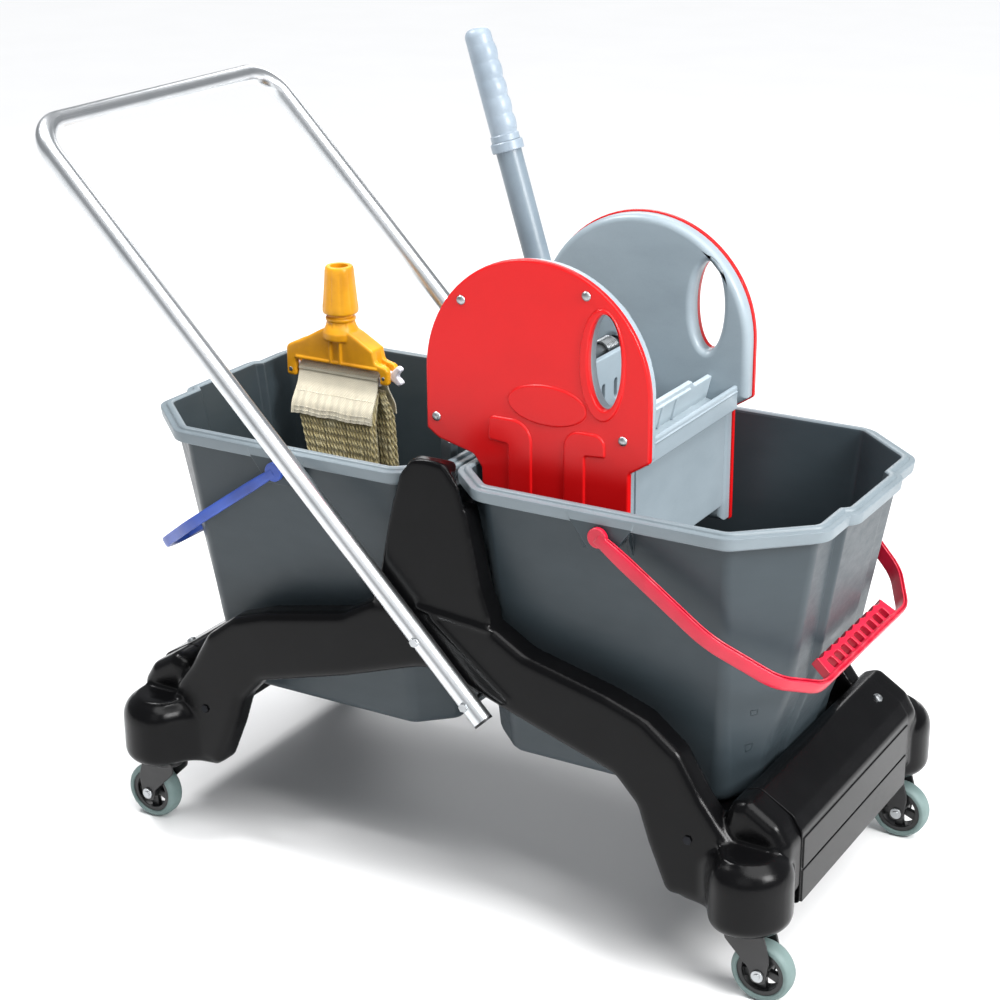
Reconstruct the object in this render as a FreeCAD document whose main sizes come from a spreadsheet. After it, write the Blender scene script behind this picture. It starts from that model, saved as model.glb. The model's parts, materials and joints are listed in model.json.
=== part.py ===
import FreeCAD, Part
import math
import os

# Twin-bucket mop trolley with a down-press wringer, millimetres.
# Each outline below is drawn in the trolley's own frame: x = 0 midway between the casters, +X towards
# the front bucket, y = 0 on the plane of symmetry, z = 0 on the floor.  Every finished piece is then
# moved by origin_shift along X, which puts the origin under the middle of the whole object.

DOC = FreeCAD.newDocument("mop_trolley")
SHEET = DOC.addObject("Spreadsheet::Sheet", "Sizes")

SIZES = {
    "origin_shift": 37.0,
    # casters
    "caster_x": 418.0, "caster_y": 220.0, "wheel_radius": 37.5, "tyre_inner": 29.0, "tyre_width": 24.0,
    "hub_width": 20.0, "axle_radius": 4.0, "axle_clearance": 0.06, "caster_trail": 24.0,
    "stem_radius": 5.5, "stem_top": 134.0, "fork_top": 92.0,
    # moulded base
    "beam_inner": 190.0, "beam_outer": 226.0, "pod_radius": 57.0, "pod_floor": 95.0, "pod_height": 101.0,
    "pod_dome": 18.0, "beam_round": 7.0, "rim_gap_y": 221.0, "core_half": 27.0,
    "cross_outer": 462.0, "cross_floor": 100.0, "rail_half": 12.0, "rail_floor": 506.0,
    # buckets
    "rim_top": 555.0, "rim_width": 18.0, "rim_depth": 18.0, "rim_skin": 4.0, "bucket_floor": 190.0,
    "bucket_wall": 3.0, "bucket_near": 19.5, "bucket_far": 447.0, "bucket_half": 198.0,
    "bucket_corner": 370.0, "bucket_step": 9.0, "base_near": 30.0, "base_far": 373.0,
    "base_half": 150.0, "base_corner": 351.0,
    "knee_low": 240.0, "knee_low_far": 380.0, "knee_high": 340.0, "knee_high_far": 413.0,
    "bail_x": 222.0, "bail_z": 526.0, "bail_y": 219.9, "bail_reach": 290.0, "bail_band": 7.0,
    "bail_height": 18.0, "bail_droop": 35.0, "bail_pin": 5.0,
    # push handle
    "tube_radius": 12.5, "tube_wall": 1.5, "handle_y": 238.7, "handle_foot_x": 81.0,
    "handle_foot_z": 273.0, "handle_top_x": -549.0, "handle_top_z": 919.0, "handle_bend": 46.0,
    # wringer
    "cheek_inner": 120.0, "cheek_skin": 19.0, "panel_skin": 7.0, "arch_x": 100.0, "arch_z": 664.0,
    "arch_radius": 148.0, "shaft_x": 62.0, "shaft_z": 640.0, "shaft_radius": 9.0, "crank_length": 60.0,
    "roller_radius": 11.0, "jaw_x": 92.0, "jaw_z": 440.0, "jaw_pin": 6.0, "jaw_half": 114.0,
    "jaw_height": 210.0, "lever_lean": 17.2, "lever_length": 419.0, "lever_tube": 15.5,
    "grip_radius": 17.5, "grip_length": 136.0, "bore_clearance": 0.05,
    # mop
    "mop_x": -335.0, "mop_y": 95.0, "gate_z": 548.0, "socket_radius": 12.0, "socket_depth": 85.0,
    "strand_floor": 207.0, "strand_thick": 22.0, "slot_half": 7.0,
}

for row, (alias, number) in enumerate(SIZES.items(), start=1):
    SHEET.set(f"A{row}", alias)
    SHEET.set(f"B{row}", str(number))
    SHEET.setAlias(f"B{row}", alias)
DOC.recompute()

NODES = []


def size(alias):
    """The number that a cell of the sheet holds."""
    return float(getattr(SHEET, alias))


def cell(alias):
    """The name of a cell as an expression writes it."""
    return f"Sizes.{alias}"


def point(x, y, z=0.0):
    return FreeCAD.Vector(x, y, z)


# ---------------------------------------------------------------- outlines


def rounded(corners, closed=True):
    """Lines and tangent arcs through (x, y, radius) corners, in the plane z = 0."""
    count = len(corners)
    joints = []
    for i, (x, y, radius) in enumerate(corners):
        here = point(x, y)
        if not closed and i in (0, count - 1):
            joints.append((here, here, here))
            continue
        before = point(*corners[i - 1][:2])
        after = point(*corners[(i + 1) % count][:2])
        towards_before = (before - here).normalize()
        towards_after = (after - here).normalize()
        turn = math.pi - towards_before.getAngle(towards_after)
        if radius <= 0 or turn < 1e-4:
            joints.append((here, here, here))
            continue
        cut = radius * math.tan(turn / 2)
        bisector = (towards_before + towards_after).normalize()
        middle = here + bisector * (radius / math.cos(turn / 2) - radius)
        joints.append((here + towards_before * cut, middle, here + towards_after * cut))
    pieces = []
    for i in range(count if closed else count - 1):
        leave = joints[i][2]
        arrive = joints[(i + 1) % count][0]
        if leave.distanceToPoint(arrive) > 1e-6:
            pieces.append(Part.LineSegment(leave, arrive))
        first, middle, last = joints[(i + 1) % count]
        if first.distanceToPoint(last) > 1e-6:
            pieces.append(Part.Arc(first, middle, last))
    return pieces


def corners(points, radius):
    """The same corner radius for every point."""
    return [(x, y, radius) for x, y in points]


def box_loop(x0, y0, x1, y1, radius=0.0):
    return rounded(corners([(x0, y0), (x1, y0), (x1, y1), (x0, y1)], radius))


def circle_loop(x, y, radius):
    return [Part.Circle(point(x, y), point(0, 0, 1), radius)]


def oval_loop(x, y, half_width, half_height):
    """An upright oval with its long axis along the second direction."""
    ring = Part.Ellipse(point(x, y + half_height), point(x + half_width, y), point(x, y))
    return [ring]


# ---------------------------------------------------------------- parametric pieces


class Piece:
    """A PartDesign body built feature by feature, each measured along the normal of its plane."""

    NORMALS = {"XY_Plane": 1, "XZ_Plane": -1, "YZ_Plane": 1}

    def __init__(self, label):
        self.body = DOC.addObject("PartDesign::Body", label)
        self.body.Label = label
        NODES.append(self.body)
        self.steps = 0

    def name(self, kind):
        self.steps += 1
        return f"{self.body.Name}_{kind}_{self.steps}"

    def plane(self, role):
        return next(p for p in self.body.Origin.OriginFeatures if p.Role == role)

    def sketch(self, role, loops, low, high):
        """A sketch on an origin plane, set off so that a length along its normal runs low to high."""
        sketch = self.body.newObject("Sketcher::SketchObject", self.name("sketch"))
        sketch.AttachmentSupport = [(self.plane(role), "")]
        sketch.MapMode = "FlatFace"
        start = f"{low}" if self.NORMALS[role] > 0 else f"-({high})"
        sketch.setExpression(".AttachmentOffset.Base.z", start)
        for loop in loops:
            sketch.addGeometry(loop, False)
        return sketch

    def volume(self):
        DOC.recompute()
        return self.body.Shape.Volume

    def pad(self, role, loops, low, high):
        sketch = self.sketch(role, loops, low, high)
        feature = self.body.newObject("PartDesign::Pad", self.name("pad"))
        feature.Profile = sketch
        feature.setExpression("Length", f"({high}) - ({low})")
        DOC.recompute()
        return self

    def pocket(self, role, loops, low, high):
        before = self.volume()
        sketch = self.sketch(role, loops, low, high)
        feature = self.body.newObject("PartDesign::Pocket", self.name("pocket"))
        feature.Profile = sketch
        feature.Reversed = True
        feature.setExpression("Length", f"({high}) - ({low})")
        if not self.volume() < before - 0.01:
            raise ValueError(f"{self.body.Label}: {feature.Name} cuts nothing")
        return self

    def revolve(self, loops, axis="V_Axis", offset="0", axis_x=None):
        """Turn an outline in an XZ plane round the sketch's upright axis, or round an upright at axis_x."""
        sketch = self.sketch("XZ_Plane", loops, offset, offset)
        if axis_x is not None:
            upright = Part.LineSegment(point(axis_x, 0), point(axis_x, 100))
            sketch.addGeometry(upright, True)
        feature = self.body.newObject("PartDesign::Revolution", self.name("revolution"))
        feature.Profile = sketch
        feature.ReferenceAxis = (sketch, [axis])
        feature.Angle = 360
        DOC.recompute()
        return self

    def ring_of(self, count):
        """Repeat the last feature round Z."""
        feature = self.body.newObject("PartDesign::PolarPattern", self.name("polar"))
        feature.Originals = [self.body.Tip]
        feature.Axis = (next(a for a in self.body.Origin.OriginFeatures if a.Role == "Z_Axis"), [""])
        feature.Angle = 360
        feature.Occurrences = count
        self.body.Tip = feature
        DOC.recompute()
        return self

    def round_edges(self, choose, alias):
        """Fillet the edges that a test picks, with a radius from the sheet."""
        DOC.recompute()
        tip = self.body.Tip
        names = [f"Edge{i}" for i, edge in enumerate(tip.Shape.Edges, start=1) if choose(edge)]
        if not names:
            raise ValueError(f"{self.body.Label}: no edge to round")
        feature = self.body.newObject("PartDesign::Fillet", self.name("fillet"))
        feature.Base = (tip, names)
        feature.setExpression("Radius", alias)
        DOC.recompute()
        return self

    def place(self, x="0", y="0", z="0", axis=(0, 0, 1), angle=0.0):
        """Turn the piece about its own origin and move it to a place given in cells of the sheet."""
        self.body.Placement.Rotation = FreeCAD.Rotation(point(*axis), angle)
        for letter, expression in zip("xyz", (x, y, z)):
            self.body.setExpression(f".Placement.Base.{letter}", expression)
        return self


def solid_node(label, shape):
    """A piece whose lofted or swept shape comes from Part's own functions."""
    node = DOC.addObject("Part::Feature", label)
    node.Label = label
    node.Shape = shape
    NODES.append(node)
    return node


def on_level(edge, z):
    """Whether an edge lies flat at a height."""
    return edge.BoundBox.ZMin > z - 1e-3 and edge.BoundBox.ZMax < z + 1e-3


def cylinder(start, direction, radius, length):
    return Part.makeCylinder(radius, length, point(*start), point(*direction))


def joined(shapes):
    """One solid from overlapping ones."""
    return shapes[0].multiFuse(shapes[1:]).removeSplitter()


def group(shapes):
    """Separate solids that share a node."""
    return Part.makeCompound(shapes)


def level_wire(outline, z):
    """A closed wire of an outline at a height."""
    wire = Part.Wire([piece.toShape() for piece in rounded(outline)])
    wire.translate(point(0, 0, z))
    return wire


def loft(sections):
    return Part.makeLoft([level_wire(outline, z) for outline, z in sections], True, True)


def hex_head(x, y, z, direction, across=10.0, height=4.0):
    """A six-sided screw head that stands out along a direction."""
    ring = [point(across / math.sqrt(3) * math.cos(k * math.pi / 3),
                  across / math.sqrt(3) * math.sin(k * math.pi / 3)) for k in range(7)]
    head = Part.Face(Part.makePolygon(ring)).extrude(point(0, 0, height))
    head.Placement = FreeCAD.Placement(
        point(x, y, z), FreeCAD.Rotation(point(0, 0, 1), point(*direction)))
    return head


# ---------------------------------------------------------------- moulded base

SIDES = (("right", -1), ("left", 1))
ENDS = (("front", 1), ("rear", -1))

# Upper edge of a side frame from the middle outwards, then the arch below it, as (x, z, radius).
TOWER_AND_BEAM = [
    (0, 580, 0), (22, 579, 14), (40, 556, 16), (57, 495, 30), (70, 432, 30), (84, 392, 34),
    (128, 361, 40), (235, 335, 30), (284, 318, 26), (328, 284, 26), (357, 236, 26), (380, 206, 20),
    (402, 180, 0), (402, 104, 0),
]
ARCH = [(316, 101, 14), (291, 160, 24), (276, 205, 26), (246, 237, 26), (126, 275, 60), (0, 318, 90)]


def side_frame_outline():
    right = TOWER_AND_BEAM + ARCH[:-1]
    left = [(-x, z, radius) for x, z, radius in TOWER_AND_BEAM[1:] + ARCH[:-1]]
    return rounded(right + [ARCH[-1]] + left[::-1] + [TOWER_AND_BEAM[0]][1:])


def housing_section(x):
    """Half the section of a caster housing about its stem at x: domed outside, with a blind bore."""
    bore = size("stem_radius") + size("bore_clearance")
    floor, top = size("pod_floor"), size("pod_floor") + size("pod_height")
    edge = x + size("pod_radius")
    return rounded([(x + bore, floor, 0), (edge, floor, 4), (edge, top, size("pod_dome")), (x, top, 0),
                    (x, size("stem_top") + 1, 0), (x + bore, size("stem_top") + 1, 0)])


def side_frame(side, sign):
    """One side of the base: arched beam, central tower and the two caster housings."""
    piece = Piece(f"side_frame_{side}")
    inner = cell("beam_inner")
    outer = cell("beam_outer")
    low, high = (inner, outer) if sign > 0 else (f"-{outer}", f"-{inner}")
    piece.pad("XZ_Plane", [side_frame_outline()], low, high)
    face_y = sign * size("beam_outer")
    piece.round_edges(lambda edge: all(abs(v.Y - face_y) < 1e-3 for v in edge.Vertexes), cell("beam_round"))
    for end in (1, -1):
        housing_y = cell("caster_y") if sign > 0 else f"-{cell('caster_y')}"
        piece.revolve([housing_section(end * size("caster_x"))], "Axis0", offset=housing_y,
                      axis_x=end * size("caster_x"))
    # Room for the bucket rims behind the tower's outer skin.
    rims = (f"-{cell('rim_gap_y')}", f"-({inner} - 1)") if sign < 0 else (f"{inner} - 1", cell("rim_gap_y"))
    core = size("core_half")
    for end in (1, -1):
        notch = box_loop(min(end * core, end * 90), 528, max(end * core, end * 90), 600)
        piece.pocket("XZ_Plane", [notch], *rims)
    ledge = box_loop(-core - 1, 500, core + 1, 600)
    hollow = (f"-({inner} + 8)", f"-({inner} - 1)") if sign < 0 else (f"{inner} - 1", f"{inner} + 8")
    piece.pocket("XZ_Plane", [ledge], *hollow)


for side_name, side_sign in SIDES:
    side_frame(side_name, side_sign)


def cross_beam(end, sign):
    """The moulded bar across one end, with the ledge that the bucket stands on."""
    inner = size("beam_inner") - 0.3
    outer = size("cross_outer")
    floor = size("cross_floor")
    top = size("bucket_floor")
    profile = [
        (322, top - 18, 3), (322, top - 0.4, 3), (382, top - 0.4, 4), (392, 236, 6), (408, 239, 8),
        (452, 212, 12), (outer, 196, 10), (outer, floor, 6), (440, floor, 3), (440, 158, 8), (430, top - 18, 4),
    ]
    wire = Part.Wire([piece.toShape() for piece in rounded(profile)])
    bar = Part.Face(wire).extrude(point(0, 0, 2 * inner))
    bar.Placement = FreeCAD.Placement(point(0, inner, 0), FreeCAD.Rotation(point(1, 0, 0), 90))
    for y in (-size("caster_y"), size("caster_y")):
        bar = bar.cut(cylinder((size("caster_x"), y, 60), (0, 0, 1), size("pod_radius") + 0.3, 240))
    # A raised plain badge panel and two clips on the outer face.
    panel = Part.makeBox(3, 150, 36, point(outer - 1, -75, 128))
    panel = panel.makeFillet(1.5, [e for e in panel.Edges if e.BoundBox.XMin > outer + 1])
    bar = joined([bar, panel])
    if sign < 0:
        bar = bar.mirror(point(0, 0, 0), point(1, 0, 0))
    return solid_node(f"cross_beam_{end}", bar)


for end_name, end_sign in ENDS:
    cross_beam(end_name, end_sign)


BEAM_SCREW_Z = 181


def beam_screws():
    """Screws through each side frame into the ledges of the cross beams."""
    screws = []
    for end in (1, -1):
        for side in (1, -1):
            y = side * (size("beam_outer") - 2)
            shank = cylinder((end * 345, y, BEAM_SCREW_Z), (0, -side, 0), 3, 60)
            screws.append(joined([shank, hex_head(end * 345, y, BEAM_SCREW_Z, (0, side, 0))]))
    return screws


def centre_rail():
    """The steel cross rail between the two towers that carries the wringer's hooks and both rims."""
    half = size("rail_half")
    low = size("rail_floor")
    high = size("rim_top") - size("rim_depth") - 0.3
    reach = size("beam_inner") + 8 - 0.2
    outer = Part.makeBox(2 * half, 2 * reach, high - low, point(-half, -reach, low))
    inner = Part.makeBox(2 * half - 4, 2 * reach, high - low - 4, point(-half + 2, -reach, low + 2))
    return outer.cut(inner)


solid_node("wringer_rail", centre_rail())


# ---------------------------------------------------------------- push handle


def handle_direction():
    """Unit vector up the handle's leg, and the leg's length to the corner."""
    foot = point(size("handle_foot_x"), 0, size("handle_foot_z"))
    top = point(size("handle_top_x"), 0, size("handle_top_z"))
    leg = top - foot
    return foot, FreeCAD.Vector(leg).normalize(), leg.Length


def push_handle():
    """One tube bent to a U, drawn flat and then leaned back."""
    foot, up, length = handle_direction()
    lean = math.degrees(math.atan2(up.z, up.x))
    piece = Piece("push_handle")
    side = size("handle_y")
    bend = size("handle_bend")
    path = rounded([(0, -side, 0), (length, -side, bend), (length, side, bend), (0, side, 0)], closed=False)
    spine = piece.sketch("XY_Plane", [path], "0", "0")
    profile = piece.body.newObject("Sketcher::SketchObject", piece.name("sketch"))
    profile.AttachmentSupport = [(piece.plane("YZ_Plane"), "")]
    profile.MapMode = "FlatFace"
    profile.addGeometry(circle_loop(-side, 0, size("tube_radius")), False)
    profile.addGeometry(circle_loop(-side, 0, size("tube_radius") - size("tube_wall")), False)
    DOC.recompute()
    pipe = piece.body.newObject("PartDesign::AdditivePipe", piece.name("pipe"))
    pipe.Profile = profile
    pipe.Spine = (spine, [f"Edge{i}" for i in range(1, len(path) + 1)])
    piece.place(x=cell("handle_foot_x"), z=cell("handle_foot_z"), axis=(0, 1, 0), angle=-lean)
    return piece


push_handle()


def handle_fittings():
    """Two screws through each leg into its side frame, and a plug in each leg's end."""
    foot, up, length = handle_direction()
    screws = []
    plugs = []
    for side in (1, -1):
        for along in (26.0, 122.0):
            x, z = foot.x + up.x * along, foot.z + up.z * along
            outer = side * (size("handle_y") + size("tube_radius") - 0.5)
            shank = cylinder((x, outer, z), (0, -side, 0), 3, 44)
            screws.append(joined([shank, hex_head(x, outer, z, (0, side, 0))]))
        end = foot + point(0, side * size("handle_y"), 0)
        bore = size("tube_radius") - size("tube_wall") - 0.1
        stub = cylinder(end, up, bore, 16)
        cap = cylinder(end - up * 3, up, size("tube_radius"), 2.98)
        plugs.append(joined([stub, cylinder(end - up * 0.5, up, bore, 2), cap]))
    return screws, plugs


HANDLE_SCREWS, HANDLE_PLUGS = handle_fittings()
solid_node("handle_screws", group(HANDLE_SCREWS))
solid_node("handle_plugs", group(HANDLE_PLUGS))
solid_node("beam_screws", group(beam_screws()))


# ---------------------------------------------------------------- casters


def caster(end, side, trail_sign):
    """A swivel fork, its axle, the hub and the tyre, each drawn about the stem's axis."""
    name = f"{end}_{side}"
    x = cell("caster_x") if end == "front" else f"-{cell('caster_x')}"
    y = cell("caster_y") if side == "left" else f"-{cell('caster_y')}"
    angle = 0.0 if trail_sign > 0 else 180.0
    trail = size("caster_trail")
    axle_z = size("wheel_radius")
    top = size("fork_top")

    fork = Piece(f"caster_fork_{name}")
    leg = rounded([(-20, top, 4), (-20, 78, 10), (trail - 11, axle_z + 6, 8), (trail - 9, axle_z - 11, 8),
                   (trail + 9, axle_z - 11, 8), (trail + 13, 62, 16), (30, top, 6)])
    fork.pad("XZ_Plane", [leg], "-17", "17")
    fork.pocket("XZ_Plane", [box_loop(-60, 0, 90, top - 10)], "-13.2", "13.2")
    fork.pad("XY_Plane", [circle_loop(0, 0, 21)], f"{cell('fork_top')} - 9", f"{cell('fork_top')} + 2.4")
    fork.pad("XY_Plane", [circle_loop(0, 0, size("stem_radius"))], cell("fork_top"), cell("stem_top"))
    bore = circle_loop(trail, axle_z, size("axle_radius") + 0.02)
    fork.pocket("XZ_Plane", [bore], "-20", "20")
    fork.place(x, y, "0", angle=angle)

    axle = Piece(f"caster_axle_{name}")
    axle.pad("XZ_Plane", [circle_loop(trail, axle_z, size("axle_radius"))], "-20", "20")
    axle.pad("XZ_Plane", [circle_loop(trail, axle_z, 7.5)], "17.05", "21")
    axle.pad("XZ_Plane", [circle_loop(trail, axle_z, 7.5)], "-21", "-17.05")
    axle.place(x, y, "0", angle=angle)

    hub = Piece(f"wheel_hub_{name}")
    half = size("hub_width") / 2
    bore_radius = size("axle_radius") + size("axle_clearance")
    rim = size("tyre_inner") - 0.02
    section = rounded([(bore_radius, -half - 2.6, 0), (9, -half - 2.6, 1), (9, -4, 2), (23, -3, 2),
                       (23, -half, 1), (rim, -half, 0), (rim, half, 0), (23, half, 1), (23, 3, 2),
                       (9, 4, 2), (9, half + 2.6, 1), (bore_radius, half + 2.6, 0)])
    hub.revolve([section], "V_Axis")
    hub.pocket("XY_Plane", [circle_loop(16, 0, 4.6)], "-6", "6")
    hub.ring_of(5)
    turn = FreeCAD.Rotation(point(1, 0, 0), 90)
    hub.body.Placement.Rotation = turn
    wheel_x = f"{x} + {cell('caster_trail')}" if trail_sign > 0 else f"{x} - {cell('caster_trail')}"
    for letter, expression in zip("xyz", (wheel_x, y, cell("wheel_radius"))):
        hub.body.setExpression(f".Placement.Base.{letter}", expression)

    tyre = Piece(f"tyre_{name}")
    reach = size("wheel_radius")
    half = size("tyre_width") / 2
    tread = rounded([(size("tyre_inner"), -half + 1, 1), (reach - 4, -half, 3), (reach, -half + 5, 5),
                     (reach, half - 5, 5), (reach - 4, half, 3), (size("tyre_inner"), half - 1, 1)])
    tyre.revolve([tread], "V_Axis")
    tyre.body.Placement.Rotation = turn
    for letter, expression in zip("xyz", (wheel_x, y, cell("wheel_radius"))):
        tyre.body.setExpression(f".Placement.Base.{letter}", expression)


for end_name, end_sign in ENDS:
    for side_name, side_sign in SIDES:
        caster(end_name, side_name, end_sign)


# ---------------------------------------------------------------- buckets


def bucket_outline(near, corner, far, half, step, radius, inset=0.0):
    """A long octagon with its far end's middle stepped outwards, as (x, y, radius) corners."""
    near, corner, far, half = near + inset, corner - inset, far - inset, half - inset
    slope = 44.5
    pinch = half * 0.35
    upper = [(near, half - 42, radius), (near + slope, half, radius), (corner, half, radius),
             (far, half * 0.65, radius), (far, pinch, 5), (far + step, pinch - 8, 5)]
    lower = [(x, -y, r) for x, y, r in upper]
    return upper + lower[::-1]


def bucket_sections(inset, floor):
    """Outlines from the floor to the rim, an inset inside the outer skin."""
    base_z, rim_z = size("bucket_floor") + 14.0, size("rim_top")
    base = (size("base_near"), size("base_corner"), size("base_far"), size("base_half"),
            size("bucket_step") * 0.7, 24)
    top = (size("bucket_near"), size("bucket_corner"), size("bucket_far"), size("bucket_half"),
           size("bucket_step"), 14)

    def between(height, far):
        """The tapered outline at a height, with the far end pushed out to its own place."""
        share = (height - base_z) / (rim_z - base_z)
        mixed = [low + (high - low) * share for low, high in zip(base, top)]
        mixed[2] = far
        return bucket_outline(*mixed, inset=inset)
    return [
        (bucket_outline(*base, inset=inset + 10), floor),
        (bucket_outline(*base, inset=inset), base_z),
        (between(size("knee_low"), size("knee_low_far")), size("knee_low")),
        (between(size("knee_high"), size("knee_high_far")), size("knee_high")),
        (bucket_outline(*top, inset=inset), rim_z),
    ]


def bucket_shape():
    """A tapered shell with a turned-down rim and an ear for the bail on each side."""
    wall = size("bucket_wall")
    outer = loft(bucket_sections(-wall, size("bucket_floor")))
    inner = loft(bucket_sections(0.0, size("bucket_floor") + wall))
    top = size("rim_top")
    opening = level_wire(bucket_sections(0.0, 0)[-1][0], 0)
    lip = opening.makeOffset2D(size("rim_width"))
    lip_inner = opening.makeOffset2D(size("rim_width") - wall)
    plate = Part.Face(lip).extrude(point(0, 0, size("rim_skin")))
    plate.translate(point(0, 0, top - size("rim_skin")))
    skirt = Part.Face(lip).extrude(point(0, 0, size("rim_depth")))
    skirt = skirt.cut(Part.Face(lip_inner).extrude(point(0, 0, size("rim_depth"))))
    skirt.translate(point(0, 0, top - size("rim_depth")))
    ears = []
    x, z, pin = size("bail_x"), size("bail_z"), size("bail_pin")
    ear_face = size("bail_y") - size("bail_band") / 2 - 1.2
    for side in (1, -1):
        ear_wire = Part.Wire([piece.toShape() for piece in rounded([
            (x - 46, top - 3, 0), (x + 46, top - 3, 0), (x + 16, z - 18, 6), (x - 16, z - 18, 6)])])
        ear = Part.Face(ear_wire).extrude(point(0, 0, 34))
        turn = FreeCAD.Rotation(point(1, 0, 0), 90)
        start = ear_face if side > 0 else -ear_face + 34
        ear.Placement = FreeCAD.Placement(point(0, start, 0), turn)
        ears.append(ear)
        ears.append(cylinder((x, side * (ear_face - 1), z), (0, side, 0), pin, size("bail_band") + 4.2))
        head_face = ear_face + size("bail_band") + 1.5
        ears.append(cylinder((x, side * head_face, z), (0, side, 0), 8, 1.7))
    shell = joined([outer, plate, skirt] + ears)
    shell = shell.cut(inner)
    cap = Part.Face(opening).extrude(point(0, 0, 30))
    cap.translate(point(0, 0, top - size("rim_skin") - 1))
    return shell.cut(cap)


BUCKET = bucket_shape()
solid_node("front_bucket", BUCKET)
solid_node("rear_bucket", BUCKET.mirror(point(0, 0, 0), point(1, 0, 0)))


def shifted(path, distance):
    """An open run of corners moved sideways, mitred, with its radii kept concentric."""
    moved = []
    for i, (x, y, radius) in enumerate(path):
        here = point(x, y)
        ahead = (point(*path[i + 1][:2]) - here).normalize() if i + 1 < len(path) else None
        back = (here - point(*path[i - 1][:2])).normalize() if i else ahead
        ahead = ahead or back
        normal = point(-(back.y + ahead.y), back.x + ahead.x).normalize()
        stretch = distance / (normal.x * -back.y + normal.y * back.x)
        moved.append((x + normal.x * stretch, y + normal.y * stretch, max(radius + distance, 2) if radius else 0))
    return moved


def bail(end, sign):
    """A flat moulded band bent round the bucket's end, with a ladder grip, drawn in its own plane."""
    piece = Piece(f"{end}_bail")
    half_band = size("bail_band") / 2
    reach, side = size("bail_reach"), size("bail_y")
    run = [(0, side, 0), (168, side, 110), (252, 184, 60), (reach, 128, 44)]
    path = run + [(x, -y, r) for x, y, r in run[::-1]]
    outer = shifted(path, half_band)
    inner = shifted(path, -half_band)
    low, high = f"-{cell('bail_height')} / 2", f"{cell('bail_height')} / 2"
    piece.pad("XY_Plane", [rounded(outer + inner[::-1])], low, high)
    # Ladder grip: an inner bar and its rungs.
    bar = reach - 22
    piece.pad("XY_Plane", [box_loop(bar - 4, -104, bar + 4, 104, 3.5)], "-6", "6")
    rungs = 9
    for k in range(rungs):
        y = -100 + 200 * k / (rungs - 1)
        piece.pad("XY_Plane", [box_loop(bar, y - 3, reach, y + 3)], "-6", "6")
    for k in (1, -1):
        eye_low = f"{cell('bail_y')} - {cell('bail_band')} / 2"
        eye_high = f"{cell('bail_y')} + {cell('bail_band')} / 2"
        if k < 0:
            eye_low, eye_high = f"-({eye_high})", f"-({eye_low})"
        piece.pad("XZ_Plane", [circle_loop(0, 0, 12)], eye_low, eye_high)
        hole = circle_loop(0, 0, size("bail_pin") + size("bore_clearance"))
        piece.pocket("XZ_Plane", [hole], f"{eye_low} - 1", f"{eye_high} + 1")
    droop = size("bail_droop")
    if sign > 0:
        piece.place(cell("bail_x"), "0", cell("bail_z"), axis=(0, 1, 0), angle=droop)
    else:
        piece.place(f"-{cell('bail_x')}", "0", cell("bail_z"))
        turn = FreeCAD.Rotation(point(0, 0, 1), 180).multiply(FreeCAD.Rotation(point(0, 1, 0), droop))
        piece.body.Placement.Rotation = turn
        for letter, expression in zip("xyz", (f"-{cell('bail_x')}", "0", cell("bail_z"))):
            piece.body.setExpression(f".Placement.Base.{letter}", expression)


for end_name, end_sign in ENDS:
    bail(end_name, end_sign)



# ---------------------------------------------------------------- wringer


def cheek_outline(inset=0.0):
    """The tall round-topped cheek with its rear notch over the rims and its front step, as arcs and lines."""
    x, z, r = size("arch_x"), size("arch_z"), size("arch_radius") - inset
    rear, front = x - r, x + r
    arch = Part.Arc(point(front, z), point(x, z + r), point(rear, z))
    foot = 428.0 + inset
    run = [point(rear, z), point(rear, 590 + inset), point(-30, 575 + inset), point(26 + inset, 563 + inset),
           point(36 + inset, 548), point(36 + inset, foot), point(222 - inset, foot),
           point(222 - inset, 577 + inset), point(front, 594 + inset), point(front, z)]
    lines = [Part.LineSegment(a, b) for a, b in zip(run[:-1], run[1:])]
    return [arch] + lines


HAND_HOLE = (190.0, 703.0, 19.0, 52.0)
RIVETS = [(2, 753), (166, 779), (-34, 606), (214, 616)]
RIDGES = [
    [(64, 482, 3), (96, 482, 3), (96, 620, 26), (38, 620, 9), (38, 590, 3), (64, 588, 3)],
    [(138, 482, 3), (166, 482, 3), (166, 590, 3), (192, 592, 3), (192, 619, 15), (138, 619, 22)],
]


def cheek(side, sign):
    """The thick grey inner cheek, with its bores for the lever shaft and the jaw pin."""
    piece = Piece(f"cheek_{side}")
    face = cell("cheek_inner")
    back = f"{cell('cheek_inner')} + {cell('cheek_skin')}"
    low, high = (face, back) if sign > 0 else (f"-({back})", f"-{face}")
    wide_low, wide_high = f"({low}) - 1", f"({high}) + 1"
    piece.pad("XZ_Plane", [cheek_outline()], low, high)
    inner_y = sign * size("cheek_inner")
    piece.round_edges(lambda edge: isinstance(edge.Curve, Part.Circle)
                      and all(abs(v.Y - inner_y) < 1e-3 for v in edge.Vertexes), "9")
    piece.pocket("XZ_Plane", [oval_loop(*HAND_HOLE)], wide_low, wide_high)
    gap = size("bore_clearance")
    shaft = circle_loop(size("shaft_x"), size("shaft_z"), size("shaft_radius") + gap)
    pin = circle_loop(size("jaw_x"), size("jaw_z"), size("jaw_pin") + gap)
    piece.pocket("XZ_Plane", [shaft], wide_low, wide_high)
    piece.pocket("XZ_Plane", [pin], wide_low, wide_high)


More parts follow.
